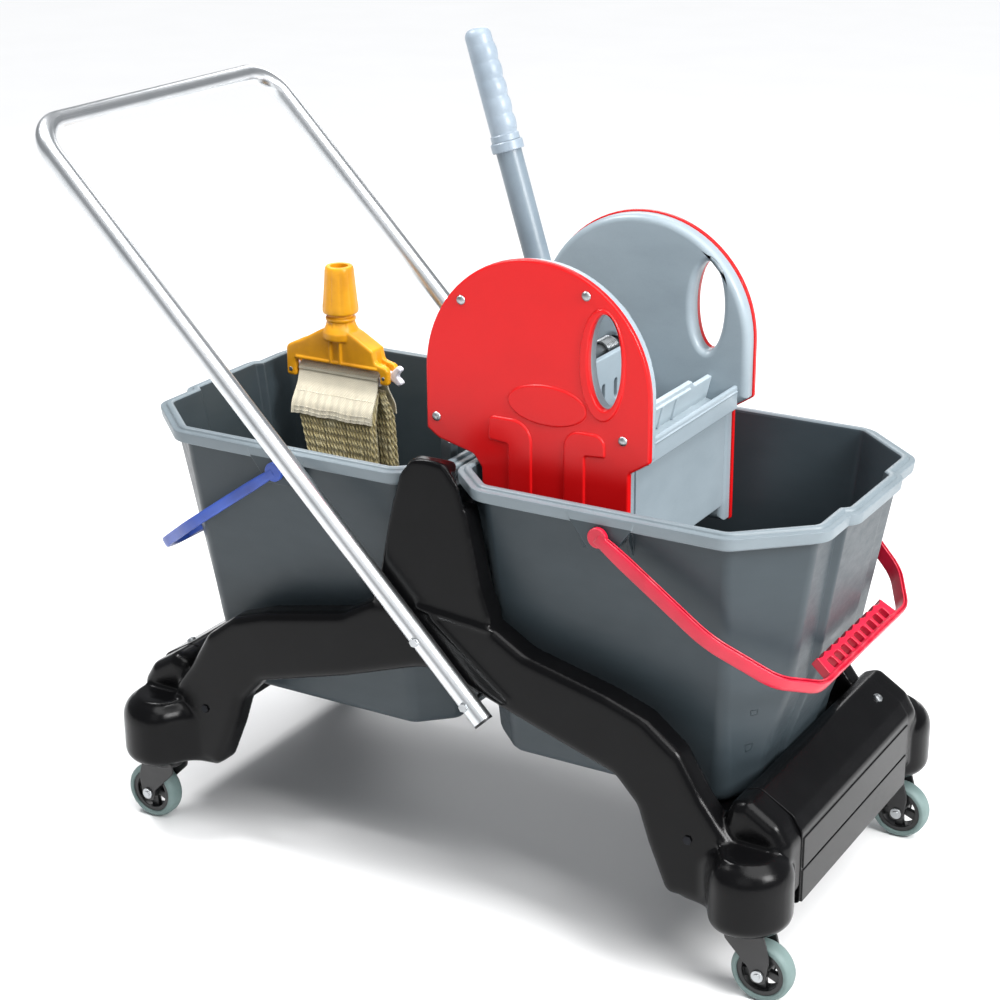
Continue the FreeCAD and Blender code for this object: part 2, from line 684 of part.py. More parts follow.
def panel(side, sign):
    """The red outer skin, with an embossed oval, two bent ribs and a raised rim round the hand hole."""
    piece = Piece(f"side_panel_{side}")
    inner = f"{cell('cheek_inner')} + {cell('cheek_skin')}"
    outer = f"{inner} + {cell('panel_skin')}"
    proud = f"{outer} + 2.2"

    def between(a, b):
        return (a, b) if sign > 0 else (f"-({b})", f"-({a})")

    piece.pad("XZ_Plane", [cheek_outline(0.6)], *between(inner, outer))
    x, z, half_width, half_height = HAND_HOLE
    piece.pad("XZ_Plane", [oval_loop(x, z, half_width + 9, half_height + 11)], *between(outer, proud))
    wide_low, wide_high = between(f"{inner} - 1", f"{proud} + 1")
    piece.pad("XZ_Plane", [[Part.Ellipse(point(168, 643), point(116, 667), point(116, 643))]],
              *between(outer, proud))
    for ridge in RIDGES:
        piece.pad("XZ_Plane", [rounded(ridge)], *between(outer, proud))
    piece.pocket("XZ_Plane", [oval_loop(*HAND_HOLE)], wide_low, wide_high)


for side_name, side_sign in SIDES:
    cheek(side_name, side_sign)
    panel(side_name, side_sign)


def panel_rivets():
    """Round-headed rivets that hold each red skin to its grey cheek."""
    face = size("cheek_inner") + size("cheek_skin") + size("panel_skin")
    rivets = []
    for side in (1, -1):
        for x, z in RIVETS:
            head = Part.makeSphere(6.2, point(x, side * (face - 3.6), z), point(0, side, 0), 35, 90, 360)
            shank = cylinder((x, side * (face - 12), z), (0, side, 0), 2.5, 13)
            rivets.append(joined([head, shank]))
    return rivets


solid_node("panel_rivets", group(panel_rivets()))


def front_wall():
    """The grey wall that ties the cheeks together at the front, with a deep top band."""
    half = size("cheek_inner") - 0.2
    wall = Part.makeBox(6, 2 * half, 150, point(213, -half, 452))
    neck = Part.makeBox(18, 2 * half, 6, point(213, -half, 586))
    band = Part.makeBox(6, 2 * half, 26, point(229, -half, 586))
    band = band.makeFillet(2, [e for e in band.Edges if e.BoundBox.ZMin > 611])
    ribs = [Part.makeBox(8, 4, 100, point(206, y, 464)) for y in (-80, -40, 0, 40, 80)]
    return joined([wall, neck, band] + ribs)


solid_node("front_wall", front_wall())


def tilted(shape, x, z, lean):
    """Stand a plate, drawn with its foot at the origin, at (x, z), leaning by an angle about Y."""
    shape.Placement = FreeCAD.Placement(point(x, 0, z), FreeCAD.Rotation(point(0, 1, 0), lean))
    return shape


def press_plate():
    """The slotted plate that the mop is pressed against, its middle raised above its ends."""
    half = size("cheek_inner") - 0.2
    lean = 14.0
    height = 186.0
    outline = rounded([(-half, 0, 0), (half, 0, 0), (half, height - 22, 3), (74, height - 22, 8),
                       (54, height, 8), (-54, height, 8), (-74, height - 22, 8), (-half, height - 22, 3)])
    face = Part.Face(Part.Wire([piece.toShape() for piece in outline]))
    plate = face.extrude(point(0, 0, 6))
    # Drain slots in rows, left out of the plain top margin.
    slots = []
    for row in range(4):
        for column in range(7):
            y = -96 + 32 * column
            slots.append(Part.makeBox(9, 26, 8, point(y - 4.5, 14 + 34 * row, -1)))
    plate = plate.cut(group(slots))
    turn = FreeCAD.Rotation(FreeCAD.Matrix(0, 0, 1, 0, 1, 0, 0, 0, 0, 1, 0, 0, 0, 0, 0, 1))
    plate = plate.transformGeometry(FreeCAD.Placement(point(0, 0, 0), turn).toMatrix())
    ribs = [Part.makeBox(6, 4, height - 30, point(5.5, y - 2, 8)) for y in (-80, -48, -16, 16, 48, 80)]
    ledge = Part.makeBox(14, 2 * half, 4, point(4, -half, height - 44))
    foot = Part.makeBox(34, 2 * half, 5, point(-34, -half, 0))
    whole = joined([plate, ledge, foot] + ribs)
    return tilted(whole, 152, 450, lean)


solid_node("press_plate", press_plate())


HOOK_GAP = 3.4


def rear_crossbar():
    """A bar across the cheeks behind the lever, short of the hook plates that pass its ends."""
    half = size("cheek_inner") - HOOK_GAP
    bar = Part.makeBox(14, 2 * half, 34, point(-42, -half, 594))
    return bar.makeFillet(3, [e for e in bar.Edges if abs(e.Vertexes[0].Y - e.Vertexes[-1].Y) > 100])


solid_node("rear_crossbar", rear_crossbar())


def hook_brackets():
    """Steel plates inside each cheek that reach down behind the rear bucket's rim, and their bolts."""
    plates = []
    bolts = []
    reach = size("cheek_inner") - 3.2
    for side in (1, -1):
        y = reach if side > 0 else -reach - 3
        plate = rounded([(-45, 640, 4), (-45, 524, 4), (-27, 524, 4), (-27, 640, 4)])
        face = Part.Face(Part.Wire([piece.toShape() for piece in plate]))
        leg = face.extrude(point(0, 0, 3))
        leg.Placement = FreeCAD.Placement(point(0, y + 3, 0), FreeCAD.Rotation(point(1, 0, 0), 90))
        flange = Part.makeBox(3, 16, 44, point(-30, y - 6.5, 524))
        whole = joined([leg, flange])
        hole = cylinder((-36, side * (reach - 4), 635), (0, side, 0), 3.02, 12)
        plates.append(whole.cut(hole))
        shank = cylinder((-36, side * (reach - 1), 635), (0, side, 0), 3, 14)
        bolts.append(joined([shank, hex_head(-36, side * reach, 635, (0, -side, 0), 9, 3.5)]))
    return plates, bolts


HOOK_PLATES, HOOK_BOLTS = hook_brackets()
solid_node("hook_brackets", group(HOOK_PLATES))
solid_node("hook_bolts", group(HOOK_BOLTS))


def moving_jaw():
    """The jaw that swings forward about its foot, with pads that the lever's rollers push on."""
    half = size("jaw_half")
    x, z, height = size("jaw_x"), size("jaw_z"), size("jaw_height")
    plate = Part.makeBox(8, 2 * half, height, point(x - 4, -half, z))
    eye = cylinder((x, -half, z), (0, 1, 0), 12, 2 * half)
    slots = []
    for row in range(4):
        for column in range(7):
            slots.append(Part.makeBox(12, 9, 26, point(x - 6, -100.5 + 32 * column, z + 36 + 38 * row)))
    ribs = [Part.makeBox(7, 4, height - 30, point(x - 10, y - 2, z + 14)) for y in (-84, -20, 20, 84)]
    pads = []
    for side in (1, -1):
        pad = [point(x - 2, 0, z + 112), point(x - 22, 0, z + 114), point(x - 39, 0, z + 160),
               point(x - 39, 0, z + 172), point(x - 2, 0, z + 182)]
        face = Part.Face(Part.makePolygon(pad + [pad[0]]))
        low = 47 if side > 0 else -59
        solid = face.extrude(point(0, 12, 0))
        solid.translate(point(0, low, 0))
        pads.append(solid)
    jaw = joined([plate, eye] + ribs + pads)
    jaw = jaw.cut(group(slots))
    return jaw.cut(cylinder((x, -half - 1, z), (0, 1, 0), size("jaw_pin") + size("bore_clearance"), 2 * half + 2))


solid_node("moving_jaw", moving_jaw())


def rod(label, x, z, radius, half):
    """A plain round rod across the wringer."""
    piece = Piece(label)
    piece.pad("XZ_Plane", [circle_loop(size(x), size(z), size(radius))], f"-{half}", half)


CHEEK_OUT = f"({cell('cheek_inner')} + {cell('cheek_skin')} - 0.2)"
rod("jaw_pin_rod", "jaw_x", "jaw_z", "jaw_pin", CHEEK_OUT)
rod("lever_shaft", "shaft_x", "shaft_z", "shaft_radius", CHEEK_OUT)


def lever_crank():
    """The forged hub on the shaft: a socket for the lever tube above, two crank arms below."""
    x, z = size("shaft_x"), size("shaft_z")
    lean = math.radians(size("lever_lean"))
    up = point(-math.sin(lean), 0, math.cos(lean))
    start = math.radians(15.0)
    down = point(-math.sin(start), 0, -math.cos(start))
    bore = size("shaft_radius") + 0.02
    hub = cylinder((x, -44, z), (0, 1, 0), 16, 88)
    socket = cylinder(point(x, 0, z) + up * 8, up, size("lever_tube") + 4, 92)
    arms = []
    for side in (1, -1):
        low = 34 if side > 0 else -44
        end = point(x, low, z) + down * size("crank_length")
        arm = Part.makeBox(20, 10, size("crank_length"), point(-10, 0, 0))
        arm.Placement = FreeCAD.Placement(end, FreeCAD.Rotation(point(0, 1, 0), math.degrees(start)))
        arms.append(arm)
        arms.append(cylinder(end, (0, 1, 0), 10, 10))
    crank = joined([hub, socket] + arms)
    crank = crank.cut(cylinder((x, -60, z), (0, 1, 0), bore, 120))
    crank = crank.cut(cylinder(point(x, 0, z) + up * 24, up, size("lever_tube") + 0.02, 90))
    tip = point(x, -62, z) + down * size("crank_length")
    return crank.cut(cylinder(tip, (0, 1, 0), 5.02, 124)), tip, up


LEVER_CRANK, ROLLER_START, LEVER_UP = lever_crank()
solid_node("lever_crank", LEVER_CRANK)
solid_node("roller_pin", cylinder(ROLLER_START, (0, 1, 0), 5, 124))


def rollers():
    """Two rollers on the crank's pin."""
    pair = []
    for low in (46.2, -59.8):
        start = point(ROLLER_START.x, low, ROLLER_START.z)
        wheel = cylinder(start, (0, 1, 0), size("roller_radius"), 13.6)
        pair.append(wheel.cut(cylinder(start, (0, 1, 0), 5.06, 13.6)))
    return pair


solid_node("crank_rollers", group(rollers()))


def lever_parts():
    """The lever's tube, the collar at the top of the tube, and the finger grip over it."""
    foot = point(size("shaft_x"), 0, size("shaft_z"))
    grip_start = size("lever_length") - size("grip_length")
    tube = cylinder(foot + LEVER_UP * 24.2, LEVER_UP, size("lever_tube"), grip_start - 24.2)
    collar = cylinder(foot + LEVER_UP * (grip_start - 12), LEVER_UP, size("grip_radius") + 2, 11.9)
    collar = collar.cut(tube)
    radius = size("grip_radius")
    waist = radius - 1.6
    fingers = 5
    profile = [point(0, 0, 0), point(radius, 0, 0), point(radius, 0, 12)]
    edges = [Part.LineSegment(a, b) for a, b in zip(profile[:-1], profile[1:])]
    pitch = (size("grip_length") - 12 - 22) / fingers
    for k in range(fingers):
        low = 12 + k * pitch
        edges.append(Part.Arc(point(radius, 0, low), point(waist, 0, low + pitch / 2), point(radius, 0, low + pitch)))
    top = size("grip_length") - 22
    end = size("grip_length")
    edges.append(Part.LineSegment(point(radius, 0, top), point(radius, 0, end - 11)))
    round_off = 11.0
    corner = round_off * (1 - math.sqrt(0.5))
    edges.append(Part.Arc(point(radius, 0, end - round_off), point(radius - corner, 0, end - corner),
                          point(radius - round_off, 0, end)))
    edges.append(Part.LineSegment(point(radius - round_off, 0, end), point(0, 0, end)))
    edges.append(Part.LineSegment(point(0, 0, end), point(0, 0, 0)))
    face = Part.Face(Part.Wire([edge.toShape() for edge in edges]))
    grip = face.revolve(point(0, 0, 0), point(0, 0, 1), 360)
    grip.Placement = FreeCAD.Placement(foot + LEVER_UP * grip_start, FreeCAD.Rotation(point(0, 0, 1), LEVER_UP))
    return tube, collar, grip


LEVER_TUBE, LEVER_COLLAR, LEVER_GRIP = lever_parts()
solid_node("lever_tube", LEVER_TUBE)
solid_node("lever_collar", LEVER_COLLAR)
solid_node("lever_grip", LEVER_GRIP)


def return_spring():
    """A torsion coil round the shaft, clear of it, with one leg on the cheek's side."""
    radius, wire, pitch, turns = 12.6, 1.5, 3.6, 8
    helix = Part.makeHelix(pitch, pitch * turns, radius)
    section = Part.Wire([Part.Circle(point(radius, 0, 0), point(0, 1, 0), wire).toShape()])
    coil = Part.Wire(helix.Edges).makePipeShell([section], True, True)
    turn = FreeCAD.Rotation(point(1, 0, 0), -90)
    coil.Placement = FreeCAD.Placement(point(size("shaft_x"), 82, size("shaft_z")), turn)
    return coil


solid_node("return_spring", return_spring())


# ---------------------------------------------------------------- mop


def mop_frame():
    """The mop holder's middle, in the trolley's frame."""
    return point(size("mop_x"), size("mop_y"), size("gate_z"))


def plate_y(loop, half, at):
    """An upright plate from an XZ outline, centred on y = at.y and moved to at."""
    face = Part.Face(Part.Wire([piece.toShape() for piece in loop]))
    solid = face.extrude(point(0, 0, 2 * half))
    solid.Placement = FreeCAD.Placement(at + point(0, half, 0), FreeCAD.Rotation(point(1, 0, 0), 90))
    return solid


def holder_body():
    """The moulded T: a wide hood with a lug at each end, and a ribbed socket for the pole."""
    at = mop_frame()
    hood = plate_y(rounded([
        (-82, -9, 3), (-82, 34, 8), (-52, 46, 14), (-27, 62, 12), (27, 62, 12), (52, 46, 14), (82, 34, 8),
        (82, -2, 3), (69, -2, 2), (69, 17, 4), (-67, 17, 4), (-67, -9, 3)]), 15, at)
    socket = Part.makeCone(23, 17.5, 58, at + point(0, 0, 58))
    base = Part.makeCylinder(25, 8, at + point(0, 0, 54))
    ribs = []
    for k in range(6):
        fin = Part.makeBox(3, 25, 34, point(-1.5, 0, 60))
        fin.rotate(point(0, 0, 0), point(0, 0, 1), 60 * k)
        fin.translate(at)
        ribs.append(fin)
    body = joined([hood, base, socket] + ribs)
    bore = Part.makeCylinder(size("socket_radius"), size("socket_depth"), at + point(0, 0, 62))
    pin = cylinder(at + point(-75, -20, 0), (0, 1, 0), 3 + size("bore_clearance"), 40)
    slot_gate = Part.makeBox(18, 11, 26, at + point(-84, -5.5, -10))
    slot_latch = Part.makeBox(28, 11, 54, at + point(59, -5.5, -4))
    latch_pin = cylinder(at + point(75, -20, 8), (0, 1, 0), 2.5 + size("bore_clearance"), 40)
    return body.cut(group([bore, pin])).cut(slot_gate).cut(slot_latch).cut(latch_pin)


def holder_collar():
    """The screwed clamp ring round the top of the socket."""
    at = mop_frame() + point(0, 0, 116.1)
    ring = Part.makeCone(20, 17, 34, at)
    knurls = []
    for k in range(12):
        rib = Part.makeBox(2.4, 3, 22, point(-1.2, 17.5, 4))
        rib.rotate(point(0, 0, 0), point(0, 0, 1), 30 * k)
        rib.translate(at)
        knurls.append(rib)
    ring = joined([ring] + knurls)
    return ring.cut(Part.makeCylinder(size("socket_radius"), 40, at + point(0, 0, -1)))


solid_node("holder_body", holder_body())
solid_node("holder_collar", holder_collar())


def gate_bar():
    """The white bar that passes through the mop's headband and swings down to free it."""
    at = mop_frame()
    eye = cylinder(at + point(-75, -4.8, 0), (0, 1, 0), 7.5, 9.6)
    arm = cylinder(at + point(-73, 0, 0), (1, 0, 0), 4.5, 132)
    tip = cylinder(at + point(59, 0, -9), (0, 0, 1), 3.6, 13)
    bar = joined([eye, arm, tip])
    return bar.cut(cylinder(at + point(-75, -10, 0), (0, 1, 0), 3 + size("bore_clearance"), 20))


def gate_latch():
    """The wing that holds the bar's free end."""
    at = mop_frame() + point(75, 0, 8)
    eye = cylinder(at + point(0, -4.8, 0), (0, 1, 0), 6.5, 9.6)
    wing = plate_y(rounded([(0, -5, 2), (18, -12, 3), (22, -4, 3), (14, 2, 3), (22, 12, 3), (16, 17, 3),
                            (0, 6, 2)]), 4.8, at)
    latch = joined([eye, wing])
    return latch.cut(cylinder(at + point(0, -10, 0), (0, 1, 0), 2.5 + size("bore_clearance"), 20))


solid_node("gate_bar", gate_bar())
solid_node("gate_latch", gate_latch())
solid_node("gate_pin", cylinder(mop_frame() + point(-75, -15.5, 0), (0, 1, 0), 3, 31))
solid_node("latch_pin", cylinder(mop_frame() + point(75, -15.5, 8), (0, 1, 0), 2.5, 31))


def mop_headband():
    """The woven band, folded over the gate bar."""
    at = mop_frame()
    half, skin, drop = 64.0, 3.0, 40.0
    wide = size("slot_half") + skin
    outer = [(-wide, -drop, 0), (-wide, 12, 8), (wide, 12, 8), (wide, -drop, 0),
             (wide - skin, -drop, 0), (wide - skin, 9, 5.5), (-wide + skin, 9, 5.5), (-wide + skin, -drop, 0)]
    face = Part.Face(Part.Wire([piece.toShape() for piece in rounded(outer)]))
    band = face.extrude(point(0, 0, 2 * half))
    turn = FreeCAD.Rotation(point(0, 1, 0), point(0, 0, 1), point(1, 0, 0), "XYZ")
    band.Placement = FreeCAD.Placement(at + point(-half, 0, 0), turn)
    return band


def hank(low, high, inner, outer, top, bottom, drift):
    """One tapered half of the yarn, as a loft between two rounded rectangles."""
    def ring(half, z, shift):
        y0, y1 = sorted((inner, outer))
        return level_wire([(shift - half, y0, 5), (shift + half, y0, 5), (shift + half, y1, 5),
                           (shift - half, y1, 5)], z)
    return Part.makeLoft([ring(low, bottom, drift), ring(high, top, 0.0)], True, True)


def mop_yarn():
    """The two halves of the yarn, and the dark tape stitched round each near its lower end."""
    at = mop_frame()
    floor = size("strand_floor") - at.z
    top = -30.0
    wide, narrow, drift = 66.0, 34.0, 52.0
    tape_low, tape_high = floor + 104.0, floor + 122.0
    halves = []
    tapes = []
    for side in (1, -1):
        inner = side * (size("slot_half") + 3.2)
        outer = side * (size("slot_half") + size("strand_thick"))
        half = hank(narrow, wide, inner, outer, top, floor, drift)
        share = (tape_low - floor) / (top - floor)
        around = narrow + (wide - narrow) * share + 4
        band = hank(around, around, inner - side * 1.6, outer + side * 1.6, tape_high, tape_low, 0.0)
        band.translate(point(drift * (1 - share) - 1, 0, 0))
        tape = band.cut(half)
        for piece in (half, tape):
            piece.translate(at)
        tapes.append(tape)
        halves.append(half)
    return halves, tapes


YARN, TAPES = mop_yarn()
solid_node("mop_headband", mop_headband())
solid_node("mop_yarn", group(YARN))
solid_node("mop_tail_band", group(TAPES))


# ---------------------------------------------------------------- finish


def finish():
    """Move every piece to the object's frame, test it and write it out."""
    for node in NODES:
        shift = cell("origin_shift")
        bound = dict(node.ExpressionEngine)
        before = bound.get(".Placement.Base.x", str(node.Placement.Base.x))
        node.setExpression(".Placement.Base.x", f"({before}) + {shift}")
    DOC.recompute()
    for thing in DOC.Objects:
        if "Invalid" in thing.State or "Error" in thing.State:
            raise ValueError(f"{thing.Label} failed: {thing.State}")
    os.makedirs("parts", exist_ok=True)
    for node in NODES:
        shape = node.Shape
        if shape.isNull() or not shape.isValid() or not shape.Solids:
            raise ValueError(f"{node.Label} has no valid solid")
        shape.exportStep(f"parts/{node.Label}.step")
        print(f"{node.Label}: {len(shape.Solids)} solid(s), {shape.Volume / 1000:.1f} cm3")


finish()
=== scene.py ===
import json
import math
import random

import bmesh
import bpy
from mathutils import Matrix, Vector
from mathutils.geometry import tessellate_polygon


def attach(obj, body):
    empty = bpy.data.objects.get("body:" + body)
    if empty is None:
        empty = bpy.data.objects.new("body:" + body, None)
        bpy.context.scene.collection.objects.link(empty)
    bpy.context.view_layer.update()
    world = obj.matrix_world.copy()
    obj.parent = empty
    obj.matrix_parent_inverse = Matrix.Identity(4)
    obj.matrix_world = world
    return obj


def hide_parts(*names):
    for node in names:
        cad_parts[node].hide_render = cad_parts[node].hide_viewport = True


# A twin-bucket mop trolley with a wringer.  Outlines are in millimetres in the trolley's own frame,
# with x = 0 midway between the casters; at() turns them into metres in the object's frame.

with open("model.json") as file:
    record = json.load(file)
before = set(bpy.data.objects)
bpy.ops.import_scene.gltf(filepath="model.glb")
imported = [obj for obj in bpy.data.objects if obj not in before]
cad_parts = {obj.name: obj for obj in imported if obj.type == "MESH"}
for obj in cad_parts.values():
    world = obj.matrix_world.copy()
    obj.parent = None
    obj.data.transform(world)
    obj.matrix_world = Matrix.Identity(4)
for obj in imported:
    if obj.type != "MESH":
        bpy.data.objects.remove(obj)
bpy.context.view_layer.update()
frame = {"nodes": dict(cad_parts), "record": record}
SHIFT = 37.0
SIDES = (("right", -1), ("left", 1))
ENDS = (("front", 1), ("rear", -1))


def at(x, y, z):
    """A point of the object's frame, in metres, from millimetres in the trolley's."""
    return Vector(((x + SHIFT) / 1000, y / 1000, z / 1000))


# ---------------------------------------------------------------- outlines


def run(corners, closed=True, steps=6, out=0.0):
    """Points along a run of (x, y, radius) corners moved outwards, as many for every distance."""
    points = [Vector(c[:2]) for c in corners]
    count = len(points)
    spans = [(points[(i + 1) % count] - points[i]).normalized() for i in range(count)]
    turning = sum(a.x * b.y - a.y * b.x for a, b in zip(points, points[1:] + points[:1]))
    way = 1 if turning > 0 or not closed else -1
    result = []
    for i, here in enumerate(points):
        first, last = spans[i - 1], spans[i]
        if not closed:
            first = spans[0] if i == 0 else first
            last = spans[count - 2] if i == count - 1 else last
        side_a = Vector((first.y, -first.x)) * way
        side_b = Vector((last.y, -last.x)) * way
        corner = here + (side_a + side_b) * (out / (1 + side_a.dot(side_b)))
        turn = math.atan2(first.x * last.y - first.y * last.x, first.dot(last))
        radius = corners[i][2]
        if radius <= 0 or abs(turn) < 1e-4 or (not closed and i in (0, count - 1)):
            result.append(corner)
            continue
        radius = max(radius + (out if turn * way > 0 else -out), 0.4)
        start = corner - first * radius * math.tan(abs(turn) / 2)
        hub = start + Vector((-first.y, first.x)) * (radius if turn > 0 else -radius)
        arm = start - hub
        for k in range(steps + 1):
            angle = turn * k / steps
            result.append(hub + Vector((arm.x * math.cos(angle) - arm.y * math.sin(angle),
                                        arm.x * math.sin(angle) + arm.y * math.cos(angle))))
    return result


def shape(corners, steps=6):
    """An outline that can be asked for at any distance outwards."""
    return lambda out: run(corners, steps=steps, out=out)


def oval(x, z, half_width, half_height, count=48):
    """An oval outline, as shape() gives for corners."""
    def ring(out):
        return [Vector((x + (half_width + out) * math.cos(math.tau * k / count),
                        z + (half_height + out) * math.sin(math.tau * k / count))) for k in range(count)]
    return ring


def box(x0, z0, x1, z1, radius=1.0):
    """A rectangle's outline with rounded corners."""
    return shape([(x0, z0, radius), (x1, z0, radius), (x1, z1, radius), (x0, z1, radius)], steps=3)


# ---------------------------------------------------------------- mesh building


class Build:
    """Vertices and faces collected for one piece."""

    def __init__(self):
        self.points = []
        self.faces = []
        self.uvs = {}

    def ring(self, points):
        start = len(self.points)
        self.points.extend(Vector(p) for p in points)
        return list(range(start, len(self.points)))

    def strip(self, a, b, closed=True):
        count = len(a)
        for i in range(count if closed else count - 1):
            j = (i + 1) % count
            self.faces.append((a[i], a[j], b[j], b[i]))

    def skin(self, rings, closed=False):
        """Join rings in order; open ends are capped, closed ones joined to each other."""
        for a, b in zip(rings, rings[1:] + rings[:1] if closed else rings[1:]):
            self.strip(a, b)
        if not closed:
            self.cap(rings[0])
            self.cap(rings[-1])

    def cap(self, ring, holes=()):
        loops = [ring] + [list(h) for h in holes]
        flat = [i for loop in loops for i in loop]
        for tri in tessellate_polygon([[self.points[i] for i in loop] for loop in loops]):
            self.faces.append(tuple(flat[k] for k in tri))

    def slab(self, outline, low, high, place, soft_low=1.0, soft_high=1.0, holes=(), steps=3):
        """A plate from low to high with rounded edges; place(u, v, w) puts a point in space."""
        levels = []
        for k in range(steps + 1):
            angle = math.pi / 2 * k / steps
            levels.append((soft_low * (1 - math.sin(angle)), low + soft_low * (1 - math.cos(angle))))
        for k in range(steps, -1, -1):
            angle = math.pi / 2 * k / steps
            levels.append((soft_high * (1 - math.sin(angle)), high - soft_high * (1 - math.cos(angle))))
        if soft_low <= 0:
            levels = [(0.0, low)] + levels[steps + 1:]
        if soft_high <= 0:
            levels = [level for level in levels if level[1] < high - 1e-9] + [(0.0, high)]
        outer = [self.ring([place(p.x, p.y, w) for p in outline(-inset)]) for inset, w in levels]
        inner = [[self.ring([place(p.x, p.y, w) for p in hole(inset)]) for inset, w in levels]
                 for hole in holes]
        for rings in [outer] + inner:
            for a, b in zip(rings[:-1], rings[1:]):
                self.strip(a, b)
        self.cap(outer[0], [rings[0] for rings in inner])
        self.cap(outer[-1], [rings[-1] for rings in inner])

    def lathe(self, profile, origin, axis, count=64, start=None):
        """Turn (radius, height) points about an axis; ends on the axis are closed to a point."""
        axis = Vector(axis).normalized()
        side = Vector(start) if start else axis.orthogonal().normalized()
        other = axis.cross(side)
        rings = []
        for radius, height in profile:
            centre = origin + axis * height / 1000
            if radius < 1e-6:
                rings.append(self.ring([centre]))
                continue
            rings.append(self.ring([centre + (side * math.cos(math.tau * k / count)
                                              + other * math.sin(math.tau * k / count)) * radius / 1000
                                    for k in range(count)]))
        for a, b in zip(rings, rings[1:] + rings[:1]):
            if len(a) == 1 and len(b) == 1:
                continue
            if len(a) == 1 or len(b) == 1:
                hub, ring = (a[0], b) if len(a) == 1 else (b[0], a)
                for i, here in enumerate(ring):
                    self.faces.append((hub, here, ring[(i + 1) % count]))
                continue
            self.strip(a, b)

    def sweep(self, path, section, upright, scale=None, twist=0.0):
        """Carry a closed section of (sideways, upright) points along a path, with flat ends.

        twist turns the section as it goes, in radians for each metre."""
        rings = []
        upright = Vector(upright)
        travelled = 0.0
        for i, here in enumerate(path):
            ahead = path[min(i + 1, len(path) - 1)]
            behind = path[max(i - 1, 0)]
            along = (ahead - behind).normalized()
            side = along.cross(upright).normalized()
            up = side.cross(along)
            grow = scale(i / (len(path) - 1)) if scale else 1.0
            travelled += (here - path[i - 1]).length if i else 0.0
            turned_side = side * math.cos(travelled * twist) + up * math.sin(travelled * twist)
            turned_up = up * math.cos(travelled * twist) - side * math.sin(travelled * twist)
            ring = self.ring([here + (turned_side * u + turned_up * v) * grow / 1000 for u, v in section])
            for k, index in enumerate(ring):
                self.uvs[index] = (travelled, k / len(section))
            rings.append(ring)
        self.skin(rings)

    def piece(self, name, body, slot, nodes=(), angle=40.0, weigh=True, finish=None):
        """Make the object, shade it, hang it on its body and hide the parts it stands for.

        The finish is the slot's own unless one is given."""
        mesh = bpy.data.meshes.new(name)
        mesh.from_pydata(self.points, [], self.faces)
        work = bmesh.new()
        work.from_mesh(mesh)
        bmesh.ops.remove_doubles(work, verts=work.verts, dist=1e-7)
        bmesh.ops.recalc_face_normals(work, faces=work.faces)
        work.to_mesh(mesh)
        work.free()
        if self.uvs and len(mesh.vertices) == len(self.points):
            layer = mesh.uv_layers.new(name="along")
            for loop in mesh.loops:
                layer.data[loop.index].uv = self.uvs.get(loop.vertex_index, (0.0, 0.0))
        mesh.shade_smooth()
        mesh.set_sharp_from_angle(angle=math.radians(angle))
        thing = bpy.data.objects.new(name, mesh)
        bpy.context.scene.collection.objects.link(thing)
        mesh.materials.append((finish or FINISH[slot]).material)
        if weigh:
            weighted = thing.modifiers.new("weighted", "WEIGHTED_NORMAL")
            weighted.keep_sharp = True
        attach(thing, body)
        if nodes:
            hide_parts(*nodes)
        return thing


def side_plane(side, end=1):
    """Outline in XZ, thickness outwards on one side; end = -1 turns it to the rear."""
    return lambda u, v, w: at(end * u, side * w, v)


def turned(inner, outer, low, high, soft=0.0, soft_end=None):
    """A lathe profile for a ring or, with inner 0, a rod; soft takes its outer edges off."""
    if not soft:
        return [(inner, low), (outer, low), (outer, high), (inner, high)]
    soft_end = soft if soft_end is None else soft_end
    return [(inner, low), (outer - soft, low), (outer, low + soft_end), (outer, high - soft_end),
            (outer - soft, high), (inner, high)]


def polar(radius, angle):
    return radius * math.cos(angle), radius * math.sin(angle)


def circle(radius, count=24):
    return [polar(radius, math.tau * k / count) for k in range(count)]


def path_in(plane, corners, steps=12, spacing=25.0):
    """A smooth open path through rounded corners, with its straight runs divided."""
    flat = run(corners, closed=False, steps=steps)
    points = []
    for a, b in zip(flat[:-1], flat[1:]):
        parts = max(1, int((b - a).length // spacing))
        points.extend(a.lerp(b, k / parts) for k in range(parts))
    points.append(flat[-1])
    return [plane(p.x, p.y) for p in points]


# ---------------------------------------------------------------- materials


def linear(code):
    """A colour from its usual hexadecimal form."""
    parts = [int(code[i:i + 2], 16) / 255 for i in (0, 2, 4)]
    return tuple(p / 12.92 if p <= 0.04045 else ((p + 0.055) / 1.055) ** 2.4 for p in parts) + (1.0,)


